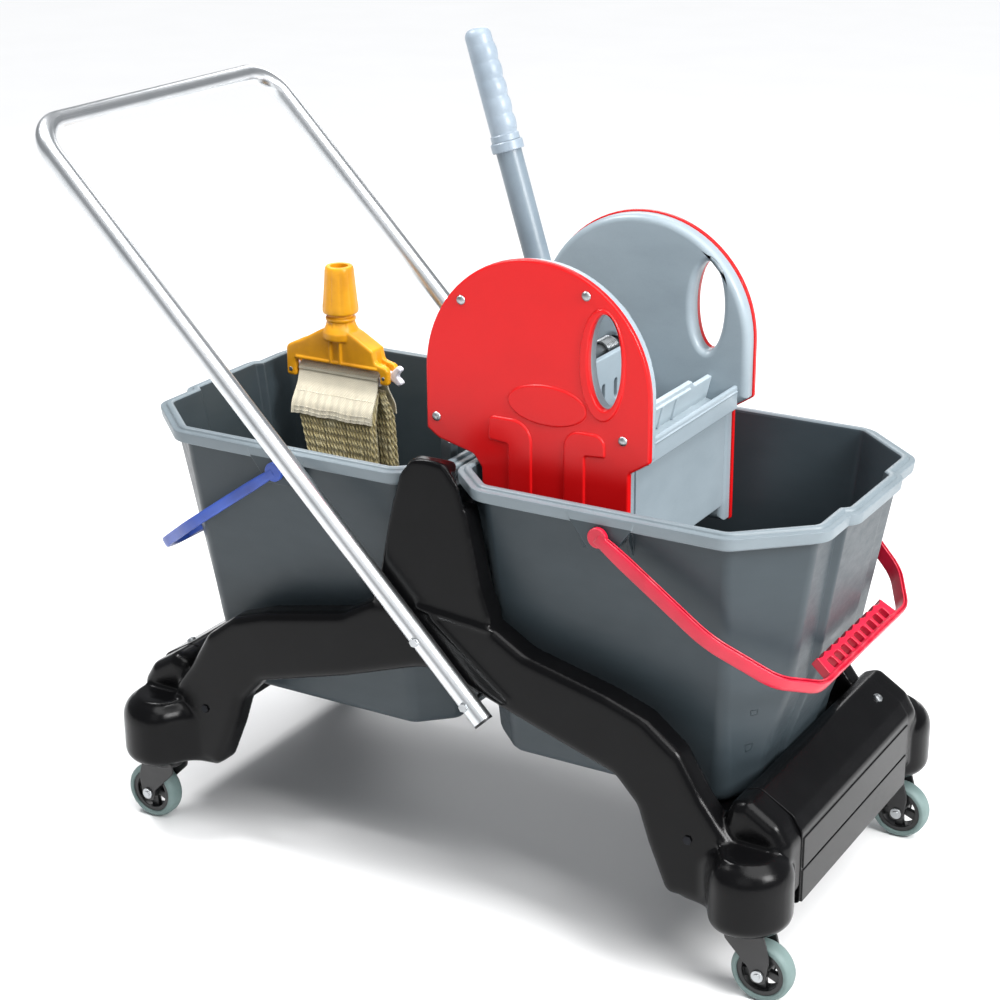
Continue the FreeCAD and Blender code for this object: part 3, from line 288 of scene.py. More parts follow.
class Finish:
    """A material and the nodes that feed its shader."""

    def __init__(self, name):
        self.material = bpy.data.materials.new(name)
        self.material.use_nodes = True
        self.tree = self.material.node_tree
        self.shader = self.tree.nodes["Principled BSDF"]
        self.where = self.tree.nodes.new("ShaderNodeTexCoord")

    def node(self, kind, **settings):
        made = self.tree.nodes.new(kind)
        for key, setting in settings.items():
            setattr(made, key, setting)
        return made

    def link(self, a, b):
        self.tree.links.new(a, b)

    def place(self, stretch, source="Object"):
        mapping = self.node("ShaderNodeMapping")
        mapping.inputs["Scale"].default_value = stretch
        self.link(self.where.outputs[source], mapping.inputs["Vector"])
        return mapping.outputs["Vector"]

    def noise(self, scale, detail=3.0, rough=0.55, stretch=(1, 1, 1), source="Object"):
        made = self.node("ShaderNodeTexNoise")
        made.inputs["Scale"].default_value = scale
        made.inputs["Detail"].default_value = detail
        made.inputs["Roughness"].default_value = rough
        self.link(self.place(stretch, source), made.inputs["Vector"])
        return made.outputs["Fac"]

    def ramp(self, value, stops):
        made = self.node("ShaderNodeValToRGB")
        while len(made.color_ramp.elements) < len(stops):
            made.color_ramp.elements.new(0.5)
        for element, (position, colour) in zip(made.color_ramp.elements, stops):
            element.position = position
            element.color = colour if hasattr(colour, "__len__") else (colour, colour, colour, 1.0)
        self.link(value, made.inputs["Fac"])
        return made.outputs["Color"]

    def mix(self, share, a, b, blend="MIX"):
        made = self.node("ShaderNodeMix", data_type="RGBA", blend_type=blend)
        for socket, value in ((made.inputs[0], share), (made.inputs[6], a), (made.inputs[7], b)):
            if hasattr(value, "is_output"):
                self.link(value, socket)
            else:
                socket.default_value = value
        return made.outputs[2]

    def math(self, operation, a, b=0.0):
        made = self.node("ShaderNodeMath", operation=operation)
        for socket, value in zip(made.inputs, (a, b)):
            if hasattr(value, "is_output"):
                self.link(value, socket)
            else:
                socket.default_value = value
        return made.outputs[0]

    def colour(self, value):
        self.link(value, self.shader.inputs["Base Color"])

    def rough(self, value):
        self.link(value, self.shader.inputs["Roughness"])

    def bump(self, height, strength, distance, after=None):
        made = self.node("ShaderNodeBump")
        made.inputs["Strength"].default_value = strength
        made.inputs["Distance"].default_value = distance
        self.link(height, made.inputs["Height"])
        if after:
            self.link(after, made.inputs["Normal"])
        self.link(made.outputs["Normal"], self.shader.inputs["Normal"])
        return made.outputs["Normal"]

    def edges(self, radius, low=0.90, high=0.995):
        """How near a sharp edge a point is, and the rounded normal there."""
        bevel = self.node("ShaderNodeBevel", samples=4)
        bevel.inputs["Radius"].default_value = radius
        shape_of = self.node("ShaderNodeNewGeometry")
        dot = self.node("ShaderNodeVectorMath", operation="DOT_PRODUCT")
        self.link(bevel.outputs["Normal"], dot.inputs[0])
        self.link(shape_of.outputs["Normal"], dot.inputs[1])
        return self.ramp(dot.outputs["Value"], [(low, 1.0), (high, 0.0)]), bevel.outputs["Normal"]

    def set(self, **numbers):
        for key, number in numbers.items():
            self.shader.inputs[key.replace("_", " ")].default_value = number
        return self


def plastic(name, colour, light, dark, rough=(0.38, 0.5), grain=1400.0, grain_depth=0.00012, worn=None,
            flow=(3, 3, 3), rounded_edges=False):
    """Moulded plastic: slow colour drift, faint flow marks, scuffs in the gloss and a fine moulded grain."""
    made = Finish(name)
    drift = made.noise(7.0, 4.0, stretch=flow)
    base = made.ramp(drift, [(0.25, linear(dark)), (0.5, linear(colour)), (0.8, linear(light))])
    specks = made.ramp(made.noise(520.0, 2.0), [(0.35, 0.93), (0.6, 1.0)])
    base = made.mix(0.3, base, specks, "MULTIPLY")
    after = None
    if worn or rounded_edges:
        near_edge, after = made.edges(0.0012)
        if worn:
            patches = made.ramp(made.noise(60.0, 3.0), [(0.45, 0.0), (0.7, 0.55)])
            base = made.mix(made.math("MULTIPLY", near_edge, patches), base, linear(worn))
    made.colour(base)
    scuffs = made.noise(38.0, 6.0, 0.7, stretch=(1, 1, 2.4))
    made.rough(made.ramp(scuffs, [(0.35, rough[0]), (0.7, rough[1])]))
    made.bump(made.noise(grain, 2.0, 0.6), 0.5, grain_depth, after)
    return made


def metal(name, colour, dark, rough=(0.25, 0.4), streak=(1, 1, 1), scale=60.0, source="Object",
          rounded_edges=True):
    """Plated or brushed metal, with streaks along one direction and faint tarnish."""
    made = Finish(name)
    tarnish = made.noise(14.0, 5.0)
    made.colour(made.ramp(tarnish, [(0.3, linear(dark)), (0.6, linear(colour))]))
    lines = made.noise(scale, 4.0, 0.65, stretch=streak, source=source)
    made.rough(made.ramp(lines, [(0.3, rough[0]), (0.7, rough[1])]))
    after = made.edges(0.0006)[1] if rounded_edges else None
    made.bump(lines, 0.18, 0.0002, after)
    return made.set(Metallic=1.0)


def yarn_finish():
    """Spun cotton: two plies twisted round each other, with fuzz and colour drift from strand to strand."""
    made = Finish("cotton_yarn")
    drift = made.noise(26.0, 5.0, 0.6)
    base = made.ramp(drift, [(0.28, linear("c4b27a")), (0.5, linear("dfd09c")), (0.72, linear("f0e7c2"))])
    split = made.node("ShaderNodeSeparateXYZ")
    made.link(made.where.outputs["UV"], split.inputs[0])
    turns = made.math("MULTIPLY", split.outputs[1], math.tau * 2)
    plies = made.math("ADD", made.math("MULTIPLY", made.math("COSINE", turns), 0.5), 0.5)
    # Painted shade: the grooves between the two plies are darkened in the colour.
    groove = made.ramp(plies, [(0.0, linear("8f7c46")), (0.4, linear("ffffff"))])
    made.colour(made.mix(0.6, base, groove, "MULTIPLY"))
    fuzz = made.noise(2600.0, 3.0, 0.7)
    height = made.math("ADD", plies, made.math("MULTIPLY", fuzz, 0.6))
    made.bump(height, 0.8, 0.0006)
    made.rough(made.ramp(fuzz, [(0.3, 0.8), (0.7, 0.95)]))
    return made.set(Sheen_Weight=0.35, Sheen_Roughness=0.5)


def woven(name, warp, weft, pitch):
    """A plain weave of two threads along X and Z, seen as crossed ridges."""
    made = Finish(name)
    split = made.node("ShaderNodeSeparateXYZ")
    made.link(made.where.outputs["Object"], split.inputs[0])
    waves = []
    for axis in (0, 2):
        angle = made.math("MULTIPLY", split.outputs[axis], math.tau / pitch)
        waves.append(made.math("SINE", angle))
    product = made.math("MULTIPLY", waves[0], waves[1])
    height = made.math("ADD", made.math("MULTIPLY", product, 0.5), 0.5)
    cloth = made.ramp(height, [(0.25, linear(warp)), (0.75, linear(weft))])
    stain = made.ramp(made.noise(40.0, 5.0), [(0.35, 0.86), (0.65, 1.0)])
    made.colour(made.mix(0.7, cloth, stain, "MULTIPLY"))
    fuzz = made.noise(3000.0, 2.0)
    made.bump(made.math("ADD", height, made.math("MULTIPLY", fuzz, 0.3)), 0.7, 0.0004)
    made.rough(made.ramp(fuzz, [(0.3, 0.82), (0.7, 0.95)]))
    return made.set(Sheen_Weight=0.3, Sheen_Roughness=0.5)


# One finish for each material slot, then the three that share a slot with another.
FINISH = {
    "base_black": plastic("black_moulding", "0a0a0b", "0d0d0e", "080809", (0.16, 0.24), 900.0, 0.0002,
                          "2c2d2e").set(Specular_IOR_Level=0.13),
    "bucket_grey": plastic("bucket_plastic", "363f44", "394247", "333c41", (0.34, 0.46), 1500.0, 0.0001,
                           "6c777d", (2, 2, 5)).set(Specular_IOR_Level=0.3),
    "wringer_grey": plastic("wringer_plastic", "93a0a8", "97a4ac", "8e9ba3", (0.32, 0.44), 1500.0, 0.0001,
                            "c5ced4", (2, 2, 4)),
    "press_grey": plastic("press_plastic", "adbac1", "b2bec5", "a8b5bc", (0.3, 0.42), 1500.0, 0.0001,
                          "e3e9ec"),
    "panel_red": plastic("red_panel", "d50e11", "d81014", "d10d10", (0.3, 0.38), 1100.0, 0.0001,
                         flow=(2, 2, 2), rounded_edges=True).set(Specular_IOR_Level=0.35),
    "bail_red": plastic("red_bail", "c31333", "cc193a", "b50f2d", (0.28, 0.4), 1300.0, 0.0001, "ff9aa4"),
    "bail_blue": plastic("blue_bail", "2f4fa8", "3a5cba", "263f8c", (0.3, 0.42), 1300.0, 0.0001, "8fa5e0"),
    "fork_black": plastic("fork_black", "1c1c1d", "262627", "131314", (0.34, 0.5), 900.0, 0.0002, "4c4d4e",
                          rounded_edges=True),
    "hub_black": plastic("hub_black", "18191a", "202122", "101112", (0.34, 0.5), 900.0, 0.0002, "404243",
                         rounded_edges=True),
    "plug_black": plastic("plug_black", "161617", "1f1f20", "0f0f10", (0.4, 0.55), 900.0, 0.0002,
                          rounded_edges=True),
    "holder_amber": plastic("amber_holder", "e8a012", "f0ac20", "d28c0a", (0.3, 0.42), 1300.0, 0.0002,
                            "ffd27a"),
    "gate_white": plastic("gate_white", "e9e6ee", "f3f1f6", "d8d4e0", (0.34, 0.46), 1300.0, 0.0001,
                          rounded_edges=True),
    "lever_grey": plastic("lever_grip", "8d9aa6", "98a5b0", "818f9b", (0.3, 0.42), 1200.0, 0.0002, "d5dde4"),
    "lever_paint": plastic("lever_tube", "74818b", "7d8a94", "6b7882", (0.3, 0.42), 1300.0, 0.0001, "d5dde4",
                           rounded_edges=True),
    "tyre_grey": plastic("tyre_rubber", "6a7d7b", "768a88", "5d706e", (0.55, 0.72), 700.0, 0.0004,
                         rounded_edges=True),
    "handle_metal": metal("handle_tube", "dcdee0", "ccd0d2", (0.24, 0.36), (3, 260, 1), 1.6, "UV",
                          rounded_edges=False),
    "steel": metal("zinc_steel", "b3b6b8", "96999b", (0.28, 0.45), scale=300.0),
    "spring_steel": metal("spring_steel", "8d9092", "6f7274", scale=400.0),
    "yarn": yarn_finish(),
    "headband_cloth": woven("headband_canvas", "d9ceb0", "f3ecd9", 0.0024),
    "tape_dark": woven("dark_tape", "1d2624", "2e3a37", 0.0018),
}
# A paler copy of the bucket plastic: painted highlight on the rim's top and outer face.
BUCKET_RIM_PAINTED_HIGHLIGHT = plastic("bucket_rim_painted_highlight", "727d83", "78838a", "6c777d", (0.34, 0.46), 1500.0, 0.0001, "99a5ab",
                     (2, 2, 5))
STITCH = plastic("stitching", "efe8d4", "f6f1e2", "ddd3b8", (0.7, 0.85), 2600.0, 0.0002)
BLACK_STEEL = metal("black_oxide_steel", "26272a", "1a1b1d", (0.3, 0.45), scale=300.0)


# ---------------------------------------------------------------- buckets

RIM_TOP = 555.0
HEEL = 204.0
EAR_X, EAR_Z, EAR_FACE = 222.0, 526.0, 215.2
PIN_RADIUS, EYE_WIDTH = 5.0, 7.0
# The second number is the height from which the rim's top and outer face get the painted highlight.
BUCKET_MIDDLE, PAINTED_HIGHLIGHT_FROM = 233.0, 536.5


def far_wall(z):
    """Where the far wall's skin is at a height: it leans out fastest round its knee."""
    levels = [(HEEL, 373.0), (240.0, 380.0), (340.0, 413.0), (RIM_TOP, 447.0)]
    for (low, start), (high, end) in zip(levels[:-1], levels[1:]):
        if z <= high:
            return start + (end - start) * max(0.0, z - low) / (high - low)
    return levels[-1][1]


def bucket_corners(z):
    """The bucket's inner skin at a height: a long octagon with a stepped panel in its far end."""
    share = max(0.0, (z - HEEL) / (RIM_TOP - HEEL))

    def between(low, high):
        return low + (high - low) * share

    near, corner, half, far = between(30.0, 19.5), between(351.0, 370.0), between(150.0, 198.0), far_wall(z)
    step, radius = between(6.3, 9.0), between(24.0, 14.0)
    pinch = half * 0.35
    upper = [(near, half - 42, radius), (near + 44.5, half, radius), (corner, half, radius),
             (far, half * 0.65, radius), (far, pinch, 5), (far + step, pinch - 8, 5)]
    return upper + [(x, -y, r) for x, y, r in upper[::-1]]


BUCKET_PROFILE = [
    (190.0, -14.0), (190.4, -9.0), (192.5, -4.0), (197.0, 0.6), (204.0, 3.0), (240.0, 3.0), (290.0, 3.0),
    (340.0, 3.0), (400.0, 3.0), (450.0, 3.0), (500.0, 3.0), (530.0, 3.0), (545.5, 3.0), (549.0, 4.2),
    (550.4, 7.5), (550.4, 12.5), (549.4, 14.4), (547.0, 15.0), (538.2, 15.0), (537.1, 15.6), (537.0, 17.0),
    (537.6, 18.0), (540.0, 18.3), (549.6, 18.0), (551.0, 17.3), (551.6, 15.8), (551.7, 11.2), (552.0, 10.2),
    (553.6, 9.4), (554.7, 8.2), (555.0, 6.4), (555.0, 3.4), (554.5, 1.6), (553.0, 0.5), (550.0, 0.0),
    (530.0, 0.0), (480.0, 0.0), (420.0, 0.0), (340.0, 0.0), (290.0, 0.0), (240.0, 0.0), (207.0, 0.0),
    (199.0, -2.4), (194.8, -7.0), (193.6, -14.0),
]


def bucket(end, sign):
    """A thin tapered shell with a stepped, turned-down rim, and a braced ear for the bail on each side."""
    build = Build()
    rings = []
    for z, out in BUCKET_PROFILE:
        rings.append(build.ring([at(sign * p.x, p.y, z) for p in run(bucket_corners(z), steps=7, out=out)]))
    build.skin(rings)

    ear = shape([(EAR_X - 44, 551, 4), (EAR_X + 44, 551, 4), (EAR_X + 40, 540, 6), (EAR_X + 15, EAR_Z - 18, 7),
                 (EAR_X - 15, EAR_Z - 18, 7), (EAR_X - 40, 540, 6)])
    gusset = shape([(192, 496, 0.8), (207, 524, 2), (207, 549, 1), (198.5, 549, 0.8)], 2)
    for side in (1, -1):
        build.slab(ear, 197.6, EAR_FACE, side_plane(side, sign), 0.5, 1.6)
        for lean in (-30, 30):
            def across(u, v, w, side=side, lean=lean):
                return at(sign * (EAR_X + lean + w), side * u, v)
            build.slab(gusset, -2, 2, across, 0.8, 0.8)
        hub = at(sign * EAR_X, side * (EAR_FACE - 1), EAR_Z)
        build.lathe(turned(0, PIN_RADIUS, -6, EYE_WIDTH - 1.6), hub, (0, side, 0), 32)
    shell = build.piece(f"{end}_bucket_shell", f"{end}_bucket", "bucket_grey", [f"{end}_bucket"])
    # The rim's top and outer face get a paler copy of the plastic: a painted highlight where light catches the
    # rim.
    shell.data.materials.append(BUCKET_RIM_PAINTED_HIGHLIGHT.material)
    middle = at(sign * BUCKET_MIDDLE, 0, 0)
    for polygon in shell.data.polygons:
        outwards = polygon.normal.dot((polygon.center - middle) * Vector((1, 1, 0)))
        if polygon.center.z > PAINTED_HIGHLIGHT_FROM / 1000 and (polygon.normal.z > 0.4 or outwards > 0):
            polygon.material_index = 1


for end_name, end_sign in ENDS:
    bucket(end_name, end_sign)


# ---------------------------------------------------------------- bails

BAIL_Y, BAIL_REACH, BAIL_DROOP = 219.9, 290.0, math.radians(35.0)


def bail_plane(sign):
    """A place in a bail's own plane: u away from its pivots, v across, w out of the plane."""
    def place(u, v, w):
        x = EAR_X + u * math.cos(BAIL_DROOP) + w * math.sin(BAIL_DROOP)
        return at(sign * x, v, EAR_Z - u * math.sin(BAIL_DROOP) + w * math.cos(BAIL_DROOP))
    return place


def grip_plate(place, build):
    """The ladder grip: a row of slots, and a scalloped edge for the fingers on its inner side."""
    outer, inner = BAIL_REACH + 1, BAIL_REACH - 27
    half_outer, half_inner, count, steps = 104.0, 98.0, 9, 6
    points = [Vector((outer, -half_outer)), Vector((outer, half_outer))]
    for k in range(count * steps, -1, -1):
        along = -half_inner + 2 * half_inner * k / (count * steps)
        points.append(Vector((inner + 3.2 * abs(math.sin(math.pi * k / steps)), along)))

    def outline(out):
        return [Vector((p.x + (out if p.x > inner + 10 else -out), p.y + (out if p.y > 0 else -out) * 0.6))
                for p in points]

    slots = [box(outer - 19, 20 * k - 87, outer - 6, 20 * k - 73, 3.0) for k in range(count)]
    build.slab(outline, -6, 6, place, 1.4, 1.4, slots)


def bail(end, sign, slot, depth):
    """A moulded channel bent round the bucket's end, with round eyes on the pins."""
    build = Build()
    place = bail_plane(sign)
    half = [(0, BAIL_Y, 0), (168, BAIL_Y, 110), (252, 184, 60), (BAIL_REACH, 128, 44)]
    path = half + [(x, -y, r) for x, y, r in half[::-1]]
    spine = run(path, closed=False, steps=14)
    points = []
    for a, b in zip(spine[:-1], spine[1:]):
        parts = max(1, int((b - a).length // 20))
        points.extend(a.lerp(b, k / parts) for k in range(parts))
    points.append(spine[-1])
    section = [(-3.5, -7.8), (-2.9, -8.8), (-2.0, -9), (-1.3, -8.6), (-1.1, -6.5), (1.1, -6.5), (1.3, -8.6),
               (2.0, -9), (2.9, -8.8), (3.5, -7.8), (4.1, -4), (4.1, 4), (3.5, 7.8), (2.9, 8.8), (2.0, 9),
               (1.3, 8.6), (1.1, 5.6), (-1.1, 5.6), (-1.3, 8.6), (-2.0, 9), (-2.9, 8.8), (-3.5, 7.8)]
    rings = []
    for i, here in enumerate(points):
        along = (points[min(i + 1, len(points) - 1)] - points[max(i - 1, 0)]).normalized()
        normal = Vector((-along.y, along.x))
        height = depth * (0.72 + 0.28 * min(here.x, 30.0) / 30.0)
        rings.append(build.ring([place(here.x + normal.x * s, here.y + normal.y * s, h * height)
                                 for s, h in section]))
    build.skin(rings)
    grip_plate(place, build)
    for side in (1, -1):
        hub = at(sign * EAR_X, side * (BAIL_Y - EYE_WIDTH / 2), EAR_Z)
        bore, web = PIN_RADIUS + 0.05, EYE_WIDTH - 1.2
        eye = [(bore, 0), (11, 0), (12, 1), (12, web), (11, EYE_WIDTH - 0.2), (0, EYE_WIDTH), (0, web),
               (bore, web)]
        build.lathe(eye, hub, (0, side, 0), 40)
    build.piece(f"{end}_bail_moulding", f"{end}_bail", slot, [f"{end}_bail"])


bail("front", 1, "bail_red", 1.0)
bail("rear", -1, "bail_blue", 0.75)


# ---------------------------------------------------------------- push handle

HANDLE_FOOT, HANDLE_TOP, HANDLE_Y = Vector((81, 0, 273)), Vector((-549, 0, 919)), 238.7
HANDLE_RADIUS, HANDLE_BEND = 12.5, 46.0
LEG = HANDLE_TOP - HANDLE_FOOT
LEG_UP = LEG.normalized()
HANDLE_LEAN = Vector((-LEG_UP.z, 0, LEG_UP.x))


def handle():
    """One bright tube bent to a U, open at its feet where the plugs go in."""
    def lean(u, v):
        here = HANDLE_FOOT + LEG_UP * u
        return at(here.x, v, here.z)
    build = Build()
    corners = [(0, -HANDLE_Y, 0), (LEG.length, -HANDLE_Y, HANDLE_BEND), (LEG.length, HANDLE_Y, HANDLE_BEND),
               (0, HANDLE_Y, 0)]
    path = path_in(lean, corners, steps=22, spacing=60)
    build.sweep(path, circle(HANDLE_RADIUS, 40), HANDLE_LEAN)
    build.piece("handle_tube", "chassis", "handle_metal", ["push_handle"])


handle()


# ---------------------------------------------------------------- moulded base

TOWER_AND_BEAM = [
    (0, 580, 0), (22, 579, 14), (40, 556, 16), (57, 495, 30), (70, 432, 30), (84, 392, 34),
    (128, 361, 40), (235, 335, 30), (284, 318, 26), (328, 284, 26), (357, 236, 26), (380, 206, 20),
    (402, 180, 0), (402, 104, 0),
]
ARCH = [(316, 101, 14), (291, 160, 24), (276, 205, 26), (246, 237, 26), (126, 275, 60), (0, 318, 90)]
BEAM_INNER, BEAM_OUTER, RECESS = 190.0, 226.0, 221.4
TOWER_SIDE = [(57, 495, 30), (70, 432, 30), (84, 392, 20), (70, 360, 10)]
STEM_X, STEM_Y, HOUSING_FLOOR, HOUSING_TOP = 418.0, 220.0, 95.5, 186.0
HOUSING = [(330, 194, 4), (330, 222, 8), (370, 228, 30), (396, 273, 36), (472, 273, 53), (472, 167, 53),
           (372, 167, 20)]
SHOULDER = [(364, 130, 6), (372, 190, 10), (388, 231, 12), (408, 238, 12), (446, 214, 16), (461, 190, 14),
            (461, 120, 6)]
REAR_REACH = 12.0
CREST_SLOPE = math.radians(31)


def both_ways(right, middle_top, middle_low):
    """A closed outline from its right half, listed from the top middle round to the bottom middle.

    The rear leg, past 200 mm, stands a little farther out than the front one."""
    left = [(-x - (REAR_REACH if 200 < x < 400 else 0.0), z, r) for x, z, r in right]
    return ([middle_top] if middle_top else []) + right + ([middle_low] if middle_low else []) + left[::-1]


def remeshed(thing, voxel, rounds):
    """Weld a piece's overlapping parts into one skin and soften the joins, as a mould does."""
    mesh_mod = thing.modifiers.new("weld", "REMESH")
    mesh_mod.mode = "VOXEL"
    mesh_mod.voxel_size = voxel
    smooth = thing.modifiers.new("soften", "SMOOTH")
    smooth.factor = 0.5
    smooth.iterations = rounds
    depsgraph = bpy.context.evaluated_depsgraph_get()
    baked = bpy.data.meshes.new_from_object(thing.evaluated_get(depsgraph))
    thing.modifiers.clear()
    material = thing.data.materials[0]
    old = thing.data
    thing.data = baked
    bpy.data.meshes.remove(old)
    if not baked.materials:
        baked.materials.append(material)
    baked.shade_smooth()
    return thing


def side_frame(side, sign):
    """The arched beam, its recessed tower and two domed caster housings, moulded as one."""
    face = side_plane(sign)
    build = Build()
    # Beam: everything below a nearly level line across the tower's foot, which a thin ridge follows.
    crest = [(40, 391, 20), (84, 387, 20)]
    beam = crest + TOWER_AND_BEAM[6:] + ARCH[:-1]
    outline = both_ways(beam, (0, 394, 60), ARCH[-1])
    build.slab(shape(outline, 10), BEAM_INNER, BEAM_OUTER, face, 2.0, 12.0, steps=8)
    # Tower: set back a little, and only a skin where the bucket rims pass behind it.
    tower = both_ways([(22, 579, 14), (40, 556, 16)] + TOWER_SIDE, (0, 581, 30), None)
    build.slab(shape(tower, 8), 217.2, RECESS + 2.6, face, 0.8, 6.0, steps=6)
    lower = both_ways([(20, 526, 3), (50, 526, 3)] + TOWER_SIDE, None, None)
    build.slab(shape(lower, 8), BEAM_INNER, RECESS, face, 2.0, 3.0, steps=3)
    build.slab(box(-26.5, 500, 26.5, 577, 6), 198.4, 219.0, face, 2.0, 2.0)
    # Two raised ridges: across the tower's foot, and beside the handle's leg.
    for start, end in ((Vector((-20, 393)), Vector((84, 384))), (Vector((2, 387)), Vector((112, 300)))):
        along = (end - start).normalized()
        across = Vector((-along.y, along.x)) * 2.8
        rib = [start - across, end - across, end + across, start + across]
        build.slab(shape([(p.x, p.y, 2.7) for p in rib]), BEAM_OUTER - 8, BEAM_OUTER + 2.4, face, 1.0, 2.4)
    for end in (1, -1):
        # The caster housing: round outside, running back along the beam, with a blind hole for the stem.
        def level(u, v, w, end=end):
            return at(end * u, sign * v, w)
        stem_hole = oval(STEM_X, STEM_Y, 6.5, 6.5, 40)
        build.slab(shape(HOUSING, 12), HOUSING_FLOOR, HOUSING_TOP, level, 16, 30, [stem_hole], steps=8)
        build.lathe(turned(0, 22, 40, 90), at(end * STEM_X, sign * STEM_Y, 95), (0, 0, 1), 48)
        # The shoulder that ties the housing, the beam and the cross beam together.
        build.slab(shape(SHOULDER, 6), 160, 212, side_plane(sign, end), 3, 16, steps=6)
    thing = build.piece(f"side_frame_{side}_moulding", "chassis", "base_black",
                        [f"side_frame_{side}"], weigh=False)
    remeshed(thing, 0.0026, 7)


for side_name, side_sign in SIDES:
    side_frame(side_name, side_sign)


def cross_beam(end, sign):
    """The bar across one end: a ledge under the bucket, a rounded crest and a sloping outer face."""
    build = Build()
    profile = shape([(322, 172, 4), (322, 189.2, 5), (380, 189.4, 8), (391, 233, 9), (408, 239, 12),
                     (450, 214, 14), (462, 196, 12), (462, 102, 6), (443, 102, 4), (440, 158, 8),
                     (430, 172, 6)])
    build.slab(profile, -170, 170, side_plane(1, sign), 1.2, 1.2)
    # A facing split by a fine groove along the outer face.
    for low, high in ((103, 145), (147, 187)):
        build.slab(box(-166, low, 166, high, 2), 459, 463.4, lambda u, v, w: at(sign * w, u, v), 0.5, 1.2)
    build.piece(f"cross_beam_{end}_moulding", "chassis", "base_black", [f"cross_beam_{end}"])


for end_name, end_sign in ENDS:
    cross_beam(end_name, end_sign)


def crest_screws():
    """A round-headed screw near one end of each cross beam's outer slope."""
    build = Build()
    for sign in (1, -1):
        middle = at(sign * 430, sign * 142, 226.4)
        axis = (sign * math.sin(CREST_SLOPE), 0, math.cos(CREST_SLOPE))
        build.lathe([(0, -1.5), (6.4, -1.5), (6.4, 0.6), (5.4, 2.2), (2.6, 3.1), (2.2, 2.4), (0, 2.4)],
                    middle, axis, 28)
    build.piece("crest_screws", "chassis", "steel")


crest_screws()


# ---------------------------------------------------------------- casters

WHEEL_TRAIL, WHEEL_RADIUS = 24.0, 37.5


def caster(end, side, sign, side_sign):
    """A fork of two pressed legs under a crown, with a spoked wheel and a soft tyre."""
    stem = Vector((sign * STEM_X, side_sign * STEM_Y, 0))

    def local(u, v, w):
        return at(stem.x + sign * u, stem.y + w, v)
    build = Build()
    leg = shape([(-19, 90, 6), (-20, 76, 10), (13, 43, 8), (15, 27, 7), (33, 27, 7), (37, 62, 14),
                 (29, 90, 8)])
    for y in (-16.9, 13.4):
        build.slab(leg, y, y + 3.5, local, 1.0, 1.0)
    lug = shape([(-19, 84, 3), (29, 84, 3), (29, 90.5, 3), (-19, 90.5, 3)], 4)
    build.slab(lug, -16.6, 16.6, local, 0.8, 0.8)
    crown = [(0, 83), (20, 83), (21, 84), (21, 88.5), (22.4, 89.2), (22.4, 92.4), (20.5, 94.3), (9, 94.4),
             (5.5, 96), (5.5, 133), (4.5, 134), (0, 134)]
    build.lathe(crown, at(stem.x, stem.y, 0), (0, 0, 1), 48)
    build.piece(f"fork_{end}_{side}_moulding", f"caster_{end}_{side}", "fork_black",
                [f"caster_fork_{end}_{side}"])

    middle = at(stem.x + sign * WHEEL_TRAIL, stem.y, WHEEL_RADIUS)
    wheel = Build()
    wheel.lathe([(23.5, -10), (28.9, -10), (28.9, 10), (23.5, 10), (22.9, 9), (24.6, 3), (24.6, -3),
                 (22.9, -9)], middle, (0, 1, 0), 64)
    wheel.lathe(turned(4.06, 9.2, -12.6, 12.6, 0.8, 1.0), middle, (0, 1, 0), 32)
    for k in range(5):
        spin = Matrix.Rotation(math.tau * k / 5 + 0.3, 3, "Y")

        def arm(u, v, w, spin=spin):
            return middle + spin @ Vector((u, w, v)) / 1000
        spoke = shape([(7, -4.6, 1), (25.5, -6.2, 1), (25.5, 6.2, 1), (7, 4.6, 1)], 2)
        wheel.slab(spoke, -3.6, 3.6, arm, 1.2, 1.2)
    wheel.piece(f"hub_{end}_{side}_moulding", f"wheel_{end}_{side}", "hub_black",
                [f"wheel_hub_{end}_{side}"])

    tread = Build()
    tread.lathe([(28.95, -11), (30, -12), (33, -12), (34.6, -11.4), (36.6, -8.6), (37.4, -5), (WHEEL_RADIUS, 0),
                 (37.4, 5), (36.6, 8.6), (34.6, 11.4), (33, 12), (30, 12), (28.95, 11)], middle, (0, 1, 0), 96)
    tread.piece(f"tyre_{end}_{side}_moulding", f"wheel_{end}_{side}", "tyre_grey",
                [f"tyre_{end}_{side}"])

    nut = Build()
    nut.lathe([(0, -20.6), (3.6, -20.6), (4, -20.2), (4, -19.4), (7.2, -19.2), (7.5, -18.8), (7.5, -17.1),
               (4, -17.1), (4, 17.1), (7.5, 17.1), (7.5, 18.8), (7.2, 19.2), (4, 19.4), (4, 20.2), (3.6, 20.6),
               (0, 20.6)], middle, (0, 1, 0), 32)
    nut.piece(f"axle_{end}_{side}_bolt", f"caster_{end}_{side}", "steel",
              [f"caster_axle_{end}_{side}"])


for end_name, end_sign in ENDS:
    for side_name, side_sign in SIDES:
        caster(end_name, side_name, end_sign, side_sign)


# ---------------------------------------------------------------- wringer

ARCH_X, ARCH_Z, ARCH_R = 100.0, 664.0, 148.0
SHAFT = Vector((62, 0, 640))
HAND_HOLE = (190.0, 705.0, 21.0, 56.0)
JAW_PIN = (92.0, 440.0)
PANEL_FACE = 146.0
PRESS_X, PRESS_Z, PRESS_LEAN = 152.0, 450.0, math.radians(14.0)
HOOK_INSIDE, HOOK_OUTSIDE, HOOK_BOLT_X, HOOK_BOLT_Z = 116.8, 119.8, -36.0, 635.0
RIVETS = [(2, 753), (166, 779), (-34, 606), (214, 616)]
RIDGES = [
    [(64, 482, 3), (96, 482, 3), (96, 620, 26), (38, 620, 9), (38, 590, 3), (64, 588, 3)],
    [(138, 482, 3), (166, 482, 3), (166, 590, 3), (192, 592, 3), (192, 619, 15), (138, 619, 22)],
]
CHEEK_FOOT = [(-48, 590, 4), (-32, 579, 8), (16, 567, 8), (27, 552, 7), (29, 428, 3), (222, 428, 3),
              (222, 577, 5), (248, 594, 5)]


